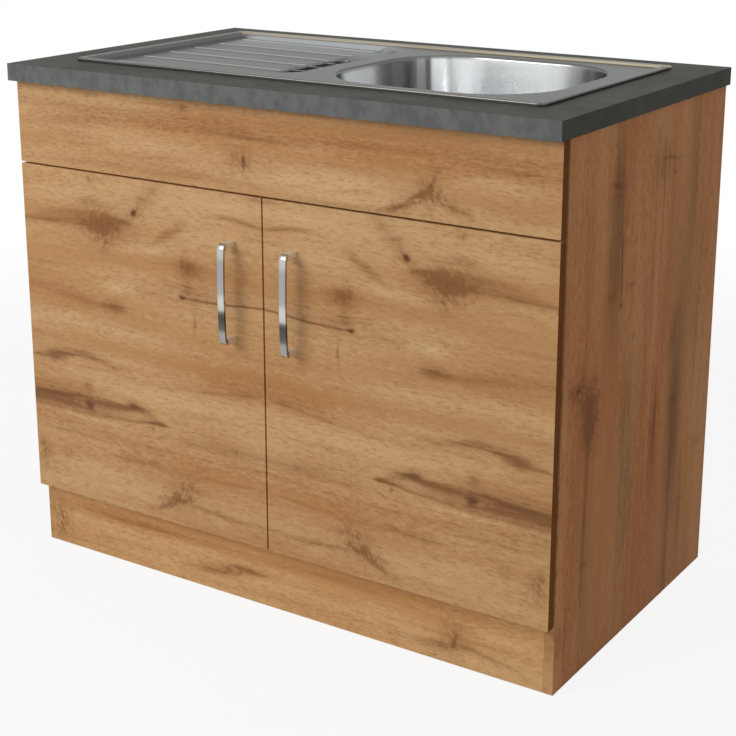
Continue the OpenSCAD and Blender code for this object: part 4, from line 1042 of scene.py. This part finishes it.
class Sheet:
    # collects the faces of the sink in millimetres about its own middle
    def __init__(self):
        self.form = bmesh.new()

    def vert(self, x, y, z):
        return self.form.verts.new((*fromSink((x, y)), z * mm))

    def loft(self, loops):
        rings = [[self.vert(*point) for point in loop] for loop in loops]
        joinRings(self.form, rings)

    def fill(self, outline, holes, height, inner=()):
        # fills a flat outline round its holes; height is a function of x and y
        points = list(outline)
        edges = ringEdges(len(outline))
        for hole in holes:
            edges += ringEdges(len(hole), len(points))
            points += hole
        points += inner
        fillFlat(self.form, points, edges, holes, lambda x, y: self.vert(x, y, height(x, y)), 0.0001)


def ringEdges(count, start=0):
    return [(start + i, start + (i + 1) % count) for i in range(count)]


def joinRings(form, rings):
    count = len(rings[0])
    for one, two in zip(rings, rings[1:]):
        for i in range(count):
            j = (i + 1) % count
            form.faces.new((one[i], one[j], two[j], two[i]))


def fillFlat(form, points, edges, holes, makeVert, nearest):
    # triangles between the points, except in the holes
    vertices, _, faces, *_ = delaunay_2d_cdt([Vector(p) for p in points], edges, [], 1, nearest)
    made = [makeVert(v.x, v.y) for v in vertices]
    for face in faces:
        middle = sum((vertices[i] for i in face), Vector((0, 0))) / len(face)
        if not any(inside(middle, hole) for hole in holes):
            form.faces.new([made[i] for i in face])


def lift(loop, z):
    return [(x, y, z) for x, y in loop]


def moved(loop, place):
    return [(x + place[0], y + place[1]) for x, y in loop]


def bend(before, corner, after, radius, steps=4):
    # rounds the corner of a profile
    corner = Vector(corner)
    start = corner + (Vector(before) - corner).normalized() * radius
    end = corner + (Vector(after) - corner).normalized() * radius
    shares = [i / steps for i in range(steps + 1)]
    return [tuple((1 - t) ** 2 * start + 2 * t * (1 - t) * corner + t ** 2 * end) for t in shares]


def borderLoops():
    # the raised border, from its foot on the worktop over the ridge and down to the deck
    width, depth = sink["size"]
    top, deck, edge = sink["borderTop"], sink["deck"], sink["borderWidth"]
    ridge = edge - sink["borderSlope"]
    near, far = sink["borderBends"]
    outer, inner = sink["bendRadii"]
    below, behind, before, *beyond = sink["besideBends"]
    profile = [(0, sink["worktop"] + sink["borderLift"]), (0, top - below)]
    profile += bend((0, top - near), (0, top), (near, top), outer, 5)
    profile += [(behind, top), (ridge - before, top)]
    profile += bend((ridge - far, top), (ridge, top), (edge, deck), inner)
    profile += bend((ridge, top), (edge, deck), (edge + far, deck), inner)
    profile += [(edge + away, deck) for away in beyond]

    def radius(inset):
        share = min(1.0, max(0.0, (inset - 1) / (ridge - 1)))
        return sink["cornerRadius"] + (sink["pocketRadius"] - sink["cornerRadius"]) * share

    loops = [roundedLoop(width - 2 * inset, depth - 2 * inset, radius(inset), sink["cornerSteps"], 24)
             for inset, _ in profile]
    return [lift(loop, z) for loop, (_, z) in zip(loops, profile)]


def bowlLoops():
    # the bowl from its lip down to the edge of the drain
    deck = sink["deck"]
    lip, lean, floor, foot = [bowl[name] for name in ("lip", "lean", "floor", "floorRadius")]
    angle = math.degrees(math.atan(lean / (deck - floor)))
    profile = [(lip + margin, deck) for margin in bowl["margins"]]
    profile += arcPoints((lip, deck - lip), lip, 90, 180 - angle, bowl["lipSteps"])
    lower = arcPoints((-lean - foot, floor + foot), foot, -angle, -90, bowl["footSteps"])
    upper = profile[-1]
    profile += [between(upper, lower[0], share) for share in bowl["wallRows"]]
    profile += lower

    def loop(out):
        width, depth = [size + 2 * out for size in bowl["opening"]]
        return moved(roundedLoop(width, depth, bowl["radius"] + out, bowl["cornerSteps"]), bowl["middle"])

    loops = [lift(loop(out), z) for out, z in profile]
    middleX, middleY = bowl["middle"]
    drainRadius = bowl["drain"] / 2
    last = [(x, y) for x, y, _ in loops[-1]]
    hub = []
    for x, y in last:
        outX, outY = x - middleX, y - middleY
        away = math.hypot(outX, outY)
        hub.append((middleX + drainRadius * outX / away, middleY + drainRadius * outY / away))
    for share in bowl["floorRows"]:
        ring = [between(outer, inner, share) for outer, inner in zip(last, hub)]
        loops.append(lift(ring, floor - bowl["drainFall"] * share))
    return loops


def ribGrid(recess):
    # points for a fine grid where the ribs are pressed, clear of the trough
    start, end = drainer["ribStart"], drainer["ribEnd"]
    rows = sorted({round(-drainer["ribSide"] + i * ribPitch + step, 3)
                   for i in range(drainer["ribs"]) for step in drainer["gridRows"]})
    outside, within = drainer["gridFrom"]
    inset, coarse = drainer["gridInset"], drainer["gridCoarse"]
    fine = [i * drainer["gridStep"] for i in range(drainer["gridFine"])]
    columns = [start - outside + step for step in fine]
    columns += [start + inset + i * (end - start - 2 * inset) / coarse for i in range(coarse + 1)]
    columns += [end - within + step for step in fine]
    middleX, middleY = trough["middle"]
    clearX, clearY = [trough[name] / 2 + trough["margin"] for name in ("width", "length")]
    reachY = drainer["half"] - drainer["lean"] - drainer["gridMargin"]
    grid = [(x, y) for x in columns for y in rows if abs(y) < reachY and inside(Vector((x, y)), recess)]
    return [(x, y) for x, y in grid if not (abs(x - middleX) < clearX and abs(y - middleY) < clearY)]


def troughLoops():
    # the first loop follows the drainer's floor
    level = drainerFloor(trough["middle"][0])

    def loop(grow):
        shape = roundedLoop(trough["width"] + grow, trough["length"] + grow, trough["corner"] + grow / 2, 6)
        return moved(shape, trough["middle"])

    loops = [[(x, y, drainerFloor(x)) for x, y in loop(trough["wall"][0][0])]]
    loops += [lift(loop(grow), level - down) for grow, down in trough["wall"][1:]]
    return loops + [lift(loop(grow), level - trough["depth"] + up) for grow, up in trough["foot"]]


def troughSlots():
    count = trough["slots"]
    pitch = (trough["length"] - trough["width"]) / count
    slot = roundedLoop(trough["slotWidth"], pitch - trough["slotGap"], trough["slotWidth"] / 2 - 0.1, 4, 2)
    middleX, middleY = trough["middle"]
    return [moved(slot, (middleX, middleY + (i - (count - 1) / 2) * pitch)) for i in range(count)]


def flat(loop):
    return [(x, y) for x, y, _ in loop]


def makeSink():
    sheet = Sheet()
    deck = sink["deck"]
    border = borderLoops()
    sheet.loft(border)
    bowlRings = bowlLoops()
    sheet.loft(bowlRings)
    cuts = [*drainer["wall"], *[(drainer["lean"] + inset, share) for inset, share in drainer["foot"]]]
    sheet.loft([[(x, y, deck + (drainerFloor(x) - deck) * share) for x, y in drainerLoop(inset)]
                for inset, share in cuts])
    sheet.fill(flat(border[-1]), [flat(bowlRings[0]), drainerLoop(cuts[0][0])], lambda x, y: deck)
    recess = drainerLoop(cuts[-1][0])
    tub = troughLoops()
    sheet.fill(recess, [flat(tub[0])], lambda x, y: drainerFloor(x), ribGrid(recess))
    sheet.loft(tub)
    sheet.fill(flat(tub[-1]), troughSlots(), lambda x, y: tub[-1][0][2])
    bmesh.ops.remove_doubles(sheet.form, verts=sheet.form.verts, dist=0.02 * mm)
    for face in sheet.form.faces:
        face.smooth = True
    bmesh.ops.recalc_face_normals(sheet.form, faces=sheet.form.faces)
    return meshOf(sheet.form, "sinkSheet")


def nodeGroup(name, inputs):
    # a Geometry Nodes tree with a geometry and the named inputs; gives it with its inputs' links
    group = bpy.data.node_groups.new(name, "GeometryNodeTree")
    for title, kind in {"Geometry": "Geometry", **inputs}.items():
        group.interface.new_socket(title, in_out="INPUT", socket_type="NodeSocket" + kind)
    group.interface.new_socket("Geometry", in_out="OUTPUT", socket_type="NodeSocketGeometry")
    net = Tree(group)
    return net, net.outs("NodeGroupInput")


def endGroup(net, geometry, finish):
    realised = net.add("GeometryNodeRealizeInstances", {}, {"Geometry": geometry})
    finished = net.add("GeometryNodeSetMaterial", {}, {"Geometry": realised, "Material": finish})
    net.add("NodeGroupOutput", {}, {0: finished})
    return net.nodeTree


def addNodes(piece, name, group, values):
    modifier = piece.modifiers.new(name, "NODES")
    modifier.node_group = group
    for item in group.interface.items_tree:
        if item.item_type == "SOCKET" and item.in_out == "INPUT" and item.name in values:
            modifier[item.identifier] = values[item.name]


def ribTree():
    # raises ribs out of the drainer's floor, whose height is Level
    sizes = ("Ribs", "Pitch", "Middle", "Height", "Half width", "Start", "End", "Level")
    net, links = nodeGroup("pressedRibs", {**{size: "Float" for size in sizes}, "Finish": "Material"})
    geometry, ribs, pitch, middle, height, half, start, end, level, finish, *_ = links
    x, y, z = net.split(net.add("GeometryNodeInputPosition"))
    row = ((y - middle) / pitch + (ribs - 1) / 2).nearest().high(0.0).low(ribs - 1)
    sideways = y - middle - (row - (ribs - 1) / 2) * pitch
    beyond = (start - x).high(x - end).high(0.0)
    away = (sideways * sideways + beyond * beyond) ** 0.5 / half
    inner, outer = drainer["ribCurve"]
    crown = (1 - away.low(1.0) ** inner) ** outer
    rise = crown * height * (1 - abs(z - level).step(*[edge * mm for edge in drainer["ribReach"]]))
    offset = net.vector(z=rise)
    raised = net.add("GeometryNodeSetPosition", {}, {"Geometry": geometry, "Offset": offset})
    return endGroup(net, raised, finish)


def dressSink():
    piece = addObject("sinkSheet", makeSink())
    addNodes(piece, "ribs", ribTree(), {
        "Ribs": float(drainer["ribs"]),
        "Pitch": ribPitch * mm,
        "Middle": sink["middle"][1] * mm,
        "Height": drainer["ribHeight"] * mm,
        "Half width": drainer["ribHalf"] * mm,
        "Start": drainer["ribStart"] * mm,
        "End": drainer["ribEnd"] * mm,
        "Level": drainerFloor(drainer["ribLevelAt"]) * mm,
        "Finish": brushedSteel,
    })
    wall = piece.modifiers.new("wall", "SOLIDIFY")
    wall.thickness = sink["sheet"] * mm
    wall.offset = -1
    mesh = plainMesh(piece)
    smoothByAngle(mesh, sink["smoothAngle"])
    newPiece("sinkSheet", mesh, brushedSteel, "cabinet", "stainless_steel", "sink")


dressSink()


def makeBridges():
    # thin bridges across the trough, level with the drainer
    form = bmesh.new()
    middleX, middleY = trough["middle"]
    top = drainerFloor(middleX) + bridge["rise"]
    side, knee = trough["width"] / 2 + bridge["side"], trough["width"] / 2 - bridge["knee"]
    places = (-side, -knee, 0, knee, side)
    upper, lower = [(*bridge[name], *bridge[name][1::-1]) for name in ("upper", "lower")]
    section = [(x, top - down) for x, down in zip(places, upper)]
    section += [(x, top - down) for x, down in zip(places, lower)][::-1]
    for i in range(bridge["count"]):
        y = middleY + (i - (bridge["count"] - 1) / 2) * trough["length"] / (bridge["count"] + 1)
        rings = [[form.verts.new((*fromSink((middleX + x, y + end * bridge["thickness"] / 2)), z * mm))
                  for x, z in section] for end in (-1, 1)]
        joinRings(form, rings)
        form.faces.new(rings[0][::-1])
        form.faces.new(rings[1])
    bmesh.ops.recalc_face_normals(form, faces=form.faces)
    mesh = meshOf(form, "troughBridges")
    smoothByAngle(mesh, bridge["smoothAngle"])
    newPiece("troughBridges", mesh, basketSteel, "cabinet", "stainless_steel")


makeBridges()
print("sink made")


# Handles: flat bows with rounded edges

handle = {
    "middle": 58.0,
    "low": 451.0,
    "length": 160.0,
    "width": 12.0,
    "bar": 5.0,
    "leg": 9.0,
    "stand": 32.0,
    "bow": 2.5,
    "corner": 8.0,
    "inner": 3.0,
    "door": -276.0,
    "edge": 1.1,
    "edgeSteps": 3,
    "edgeAngle": 40,
    "smoothAngle": 50,
    "barSteps": 14,
    # the corners: how far short of level the arc ends, in degrees, and its steps
    "outerArc": (10, 7),
    "innerArc": (15, 5),
}
# painted light on the handles: reflection bands up the bow, and a paler tint on the legs
paintedChrome = {
    "dark": tint(84, 80, 78),
    "light": tint(206, 205, 203),
    "legs": tint(238, 236, 232),
    "legsFrom": (-300.5, -296.5),
    "legsRough": 0.42,
    "rough": (0.07, 0.12, 120.0),
    # painted reflections: bands of light and dark from the bow's lower to its upper end
    "bands": [
        (0.0, 0.50), (0.1, 0.52), (0.17, 0.1), (0.29, 0.0), (0.37, 0.9), (0.45, 1.0), (0.54, 0.62),
        (0.80, 0.55), (0.92, 0.85), (1.0, 0.7),
    ],
}


def onLegs(tree, place):
    # 1 on the legs of a handle, 0 on its bow
    return tree.split(place)[1].step(*[depth * mm for depth in paintedChrome["legsFrom"]])


def chromeColour(tree, place):
    # painted reflections: bands by height on the bow, a paler tint on the legs
    height = tree.split(place)[2]
    paintedReflection = tree.curve((height - handle["low"] * mm) / (handle["length"] * mm), paintedChrome["bands"])
    return tree.mix(onLegs(tree, place), tree.mix(paintedReflection, paintedChrome["dark"], paintedChrome["light"]), paintedChrome["legs"])


def chromeGloss(tree, place):
    return cloudyGloss(*paintedChrome["rough"])(tree, place) + onLegs(tree, place) * paintedChrome["legsRough"]


chrome = material("chrome", chromeColour, chromeGloss, metal=1.0, edge=0.7)


def handleOutline():
    # the bow seen from the side: distance from the door, height
    length, leg, bar, inner = [handle[name] for name in ("length", "leg", "bar", "inner")]
    corner = handle["corner"]
    end = handle["stand"] - handle["bow"]

    def front(low, back):
        # the bow's curve from low up to as far below its upper end, moved back towards the door
        heights = [low + i / handle["barSteps"] * (length - 2 * low) for i in range(handle["barSteps"] + 1)]
        return [(handle["stand"] - handle["bow"] * (2 * z / length - 1) ** 2 - back, z) for z in heights]

    elbow = end - bar - inner
    turn, steps = handle["outerArc"]
    points = [(0.0, 0.0)] + arcPoints((end - corner, corner), corner, -90, -turn, steps)
    points += front(corner, 0.0) + arcPoints((end - corner, length - corner), corner, turn, 90, steps)
    points += [(0.0, length), (0.0, length - leg)]
    turn, steps = handle["innerArc"]
    points += arcPoints((elbow, length - leg - inner), inner, 90, turn, steps)
    points += front(leg + inner, bar)[::-1][1:-1]
    points += arcPoints((elbow, leg + inner), inner, -turn, -90, steps) + [(0.0, leg)]
    return points


def makeHandle(side, body, node):
    form = bmesh.new()
    left = side * handle["middle"] - handle["width"] / 2
    verts = [form.verts.new((left * mm, (handle["door"] - out) * mm, (handle["low"] + z) * mm))
             for out, z in handleOutline()]
    made = bmesh.ops.extrude_face_region(form, geom=[form.faces.new(verts)])
    lifted = [v for v in made["geom"] if isinstance(v, bmesh.types.BMVert)]
    bmesh.ops.translate(form, verts=lifted, vec=(handle["width"] * mm, 0, 0))
    bmesh.ops.recalc_face_normals(form, faces=form.faces)
    piece = addObject(node + "Bow", meshOf(form, node + "Bow"))
    addBevel(piece, handle["edge"], handle["edgeSteps"], handle["edgeAngle"])
    mesh = plainMesh(piece)
    smoothByAngle(mesh, handle["smoothAngle"], flatSides=True)
    newPiece(node + "Bow", mesh, chrome, body, "chrome", node)


makeHandle(-1, "left_door", "handle_left")
makeHandle(1, "right_door", "handle_right")
print("handles made")


# Screws: a cross-head screw set out by Geometry Nodes where the CAD screws are

screw = {
    "sides": 20,
    "tip": 0.22,
    # the head: its radius as a share of its width, and the height as a share of its own
    "head": ((0.5, 0.0), (0.5, 0.35), (0.44, 0.68), (0.36, 0.9)),
    "top": 0.30,
    "crossArm": 0.24,
    "crossHalf": 0.055,
    "crossDepth": 0.6,
    "crossTaper": 0.7,
    "smoothAngle": 35,
    # vertices further out than this share of the head's width are the head's
    "rim": 0.45,
}
# width of the shank, length below the head, width of the head, height of the head
screws = {
    "fascia_screws": (3.5, 28, 7, 2.4),
    "worktop_screws": (3, 11, 6.5, 2),
    "sink_clip_screws": (4, 16, 10, 3),
    "waste_screw": (6, 34, 12, 3),
    "handle_screws_left": (4, 22, 8, 2.2),
    "handle_screws_right": (4, 22, 8, 2.2),
    "hinge_cup_screws_left": (3, 10, 6.5, 2),
    "hinge_cup_screws_right": (3, 10, 6.5, 2),
    "hinge_plate_screws": (3, 11, 6.5, 2),
    "hinge_arm_screws": (5, 7, 8, 2),
}


def circle(radius):
    turns = [2 * math.pi * i / screw["sides"] for i in range(screw["sides"])]
    return [(radius * math.cos(turn), radius * math.sin(turn)) for turn in turns]


def screwMesh(shank, length, head, high):
    # tip at the origin, head up; sizes in millimetres
    form = bmesh.new()
    top = length + high

    def ring(points, z):
        return [form.verts.new((x * mm, y * mm, z * mm)) for x, y in points]

    rim = circle(head * screw["top"])
    profile = [(shank * screw["tip"], 0.0), (shank * 0.5, shank), (shank * 0.5, length)]
    profile += [(head * wide, length + high * up) for wide, up in screw["head"]]
    rings = [ring(circle(radius), z) for radius, z in profile] + [ring(rim, top)]
    joinRings(form, rings)
    form.faces.new(rings[0][::-1])
    arm, half = head * screw["crossArm"], head * screw["crossHalf"]
    cross = [(arm, -half), (arm, half), (half, half), (half, arm), (-half, arm), (-half, half),
             (-arm, half), (-arm, -half), (-half, -half), (-half, -arm), (half, -arm), (half, -half)]
    edges = ringEdges(len(rim)) + ringEdges(len(cross), len(rim))
    fillFlat(form, rim + cross, edges, [cross], lambda x, y: ring([(x, y)], top)[0], 0.00001)
    taper = screw["crossTaper"]
    recess = [ring(cross, top)]
    recess.append(ring([(x * taper, y * taper) for x, y in cross], top - high * screw["crossDepth"]))
    joinRings(form, recess)
    form.faces.new(recess[1])
    bmesh.ops.remove_doubles(form, verts=form.verts, dist=0.002 * mm)
    bmesh.ops.recalc_face_normals(form, faces=form.faces)
    mesh = meshOf(form, "screwShape")
    smoothByAngle(mesh, screw["smoothAngle"])
    return mesh


def screwTree():
    net, links = nodeGroup("screwRow", {"Screw": "Object", "Size": "Float", "Finish": "Material"})
    geometry, model, size, finish, *_ = links
    shape = net.outs("GeometryNodeObjectInfo", {"Object": model})[-1]
    aim = net.add("GeometryNodeInputNamedAttribute", {"data_type": "FLOAT_VECTOR"}, {"Name": "aim"})
    points = net.add("GeometryNodeMeshToPoints", {}, {"Mesh": geometry})
    turned = net.add("FunctionNodeAlignRotationToVector", {"axis": "Z"}, {"Vector": aim})
    placed = net.add("GeometryNodeInstanceOnPoints", {}, {
        "Points": points,
        "Instance": shape,
        "Rotation": turned,
        "Scale": net.vector(size, size, size),
    })
    return endGroup(net, placed, finish)


def islands(form):
    # the places of the vertices of each separate solid, in the same order each run
    seen = set()
    for first in form.verts:
        if first in seen:
            continue
        seen.add(first)
        stack, island = [first], []
        while stack:
            vert = stack.pop()
            island.append(vert.co.copy())
            others = [edge.other_vert(vert) for edge in vert.link_edges]
            found = [other for other in others if other not in seen]
            seen.update(found)
            stack += found
        yield island


def screwPlaces(node, length, head, high):
    # tip and direction of each screw, from the CAD screws' own boxes
    form = mergedForm(node)
    rim = head * screw["rim"] * mm
    places = []
    for island in islands(form):
        low = Vector([min(c[i] for c in island) for i in range(3)])
        upper = Vector([max(c[i] for c in island) for i in range(3)])
        middle = (low + upper) / 2
        axis = min(range(3), key=lambda i: abs((upper - low)[i] - (length + high) * mm))
        beside = [i for i in range(3) if i != axis]
        wide = [c for c in island if max(abs(c[i] - middle[i]) for i in beside) > rim]
        ahead = sum(c[axis] for c in wide) / len(wide) > middle[axis]
        tip, aim = middle.copy(), Vector((0, 0, 0))
        tip[axis] = low[axis] if ahead else upper[axis]
        aim[axis] = 1.0 if ahead else -1.0
        places.append((tip, aim))
    form.free()
    return places


def dressScrews():
    group = screwTree()
    for node, (shank, length, head, high) in screws.items():
        places = screwPlaces(node, length, head, high)
        mesh = bpy.data.meshes.new(node + "Points")
        mesh.from_pydata([tip for tip, _ in places], [], [])
        aims = mesh.attributes.new("aim", "FLOAT_VECTOR", "POINT")
        for i, (_, aim) in enumerate(places):
            aims.data[i].vector = aim
        row = addObject(node + "Points", mesh)
        model = addObject("screwModel", screwMesh(shank, length, head, high))
        addNodes(row, "screws", group, {"Screw": model, "Size": 1.0, "Finish": nickel})
        made = plainMesh(row)
        bpy.data.objects.remove(model)
        newPiece(node + "Cross", made, nickel, bodyOf[node], "nickel_steel", node)


dressScrews()
print("screws set")


# CAD nodes that keep their own shape get their finish

finishes = [
    (beech, ["wood_dowels"]),
    (rubber, ["sink_seal", "waste_gasket", "basket_seal"]),
    (basketSteel, ["waste_strainer", "strainer_basket"]),
    (plastic, ["floor_glides", "fascia_spacers", "waste_body", "overflow_channel", "overflow_pipe",
               "door_bumpers_left", "door_bumpers_right"]),
    (nickel, ["cam_bolts", "cam_discs", "worktop_brackets", "sink_clips", "hinge_arms", "hinge_plates",
              "hinge_cups_left", "hinge_cups_right", "hinge_pins_left", "hinge_pins_right"]),
]
for finish, names in finishes:
    for name in names:
        nodes[name].data.materials.clear()
        nodes[name].data.materials.append(finish)
print("finishes given")


# Floor, light and camera

studio = {
    "floorSize": 12.0,
    "floorTints": (tint(243, 243, 242), tint(240, 240, 240)),
    "floorClouds": 1.3,
    "floorGlow": (0.88, 0.12),
    "whiteFrom": 1.3,
    "whiteTo": 2.6,
    "ambient": 0.34,
    # each lamp: place, target, size, power
    "lamps": {
        "key": ((-1.6, -3.4, 2.6), (0, -0.1, 0.45), (2.2, 1.8), 80.0),
        "fill": ((3.2, -1.6, 1.8), (0, 0, 0.45), (2.0, 2.0), 1.5),
        "top": ((0.0, 0.6, 3.2), (0, 0, 0.6), (2.4, 1.6), 6.0),
    },
}
view = {
    "place": (1402.9, -2127.5, 1201.9),
    "yaw": -0.580,
    "down": 0.271,
    "pixels": 1590.0,
    "picture": 736,
    "sensor": 36.0,
    "shiftUp": -0.12,
}


def seenDirectly(tree):
    # 1 for the rays of the camera, of mirrors and of glass
    rays = tree.outs("ShaderNodeLightPath")
    return rays[0].high(rays[3]).high(rays[6])


def makeWorld():
    world = bpy.data.worlds.new("studio")
    world.use_nodes = True
    tree = Tree(world.node_tree)
    seen = seenDirectly(tree)
    plain = tree.add("ShaderNodeBackground", {}, {"Color": (1, 1, 1, 1), "Strength": studio["ambient"]})
    white = tree.add("ShaderNodeBackground", {}, {"Color": (1, 1, 1, 1), "Strength": 1.0})
    both = tree.add("ShaderNodeMixShader", {}, {0: seen, 1: plain, 2: white})
    tree.add("ShaderNodeOutputWorld", {}, {"Surface": both})
    bpy.context.scene.world = world


def makeFloor():
    # shows as white except where the object's shadow falls
    mesh = bpy.data.meshes.new("floor")
    half = studio["floorSize"] / 2
    corners = [(-half, -half, 0), (half, -half, 0), (half, half, 0), (-half, half, 0)]
    mesh.from_pydata(corners, [], [(0, 1, 2, 3)])
    floor = addObject("floor", mesh)
    made = bpy.data.materials.new("floorPaper")
    made.use_nodes = True
    tree = Tree(made.node_tree)
    place = tree.objectPlace()
    paper = tree.mix(tree.noise(place, studio["floorClouds"]), *studio["floorTints"])
    x, y, _ = tree.split(place)
    far = ((x * x + y * y) ** 0.5).step(studio["whiteFrom"], studio["whiteTo"])
    near, more = studio["floorGlow"]
    diffuse = tree.add("ShaderNodeBsdfDiffuse", {}, {"Color": paper})
    glow = tree.add("ShaderNodeEmission", {}, {"Color": (1, 1, 1, 1), "Strength": 1.0})
    share = seenDirectly(tree) * (near + more * far)
    both = tree.add("ShaderNodeMixShader", {}, {0: share, 1: diffuse, 2: glow})
    tree.add("ShaderNodeOutputMaterial", {}, {"Surface": both})
    mesh.materials.append(made)


def areaLight(name, place, target, size, power):
    light = bpy.data.lights.new(name, "AREA")
    light.shape = "RECTANGLE"
    light.size, light.size_y = size
    light.energy = power
    lamp = addObject(name, light)
    lamp.location = place
    lamp.rotation_euler = (Vector(target) - Vector(place)).to_track_quat("-Z", "Y").to_euler()


def makeCamera():
    data = bpy.data.cameras.new("camera")
    data.sensor_width = view["sensor"]
    data.lens = view["pixels"] * view["sensor"] / view["picture"]
    data.shift_y = view["shiftUp"]
    camera = addObject("camera", data)
    camera.location = [v * mm for v in view["place"]]
    camera.rotation_euler = (math.pi / 2 - view["down"], 0.0, -view["yaw"])
    bpy.context.scene.camera = camera


makeWorld()
makeFloor()
for name, (place, target, size, power) in studio["lamps"].items():
    areaLight(name, place, target, size, power)
makeCamera()
bpy.context.scene.view_settings.view_transform = "Standard"
print("studio made")
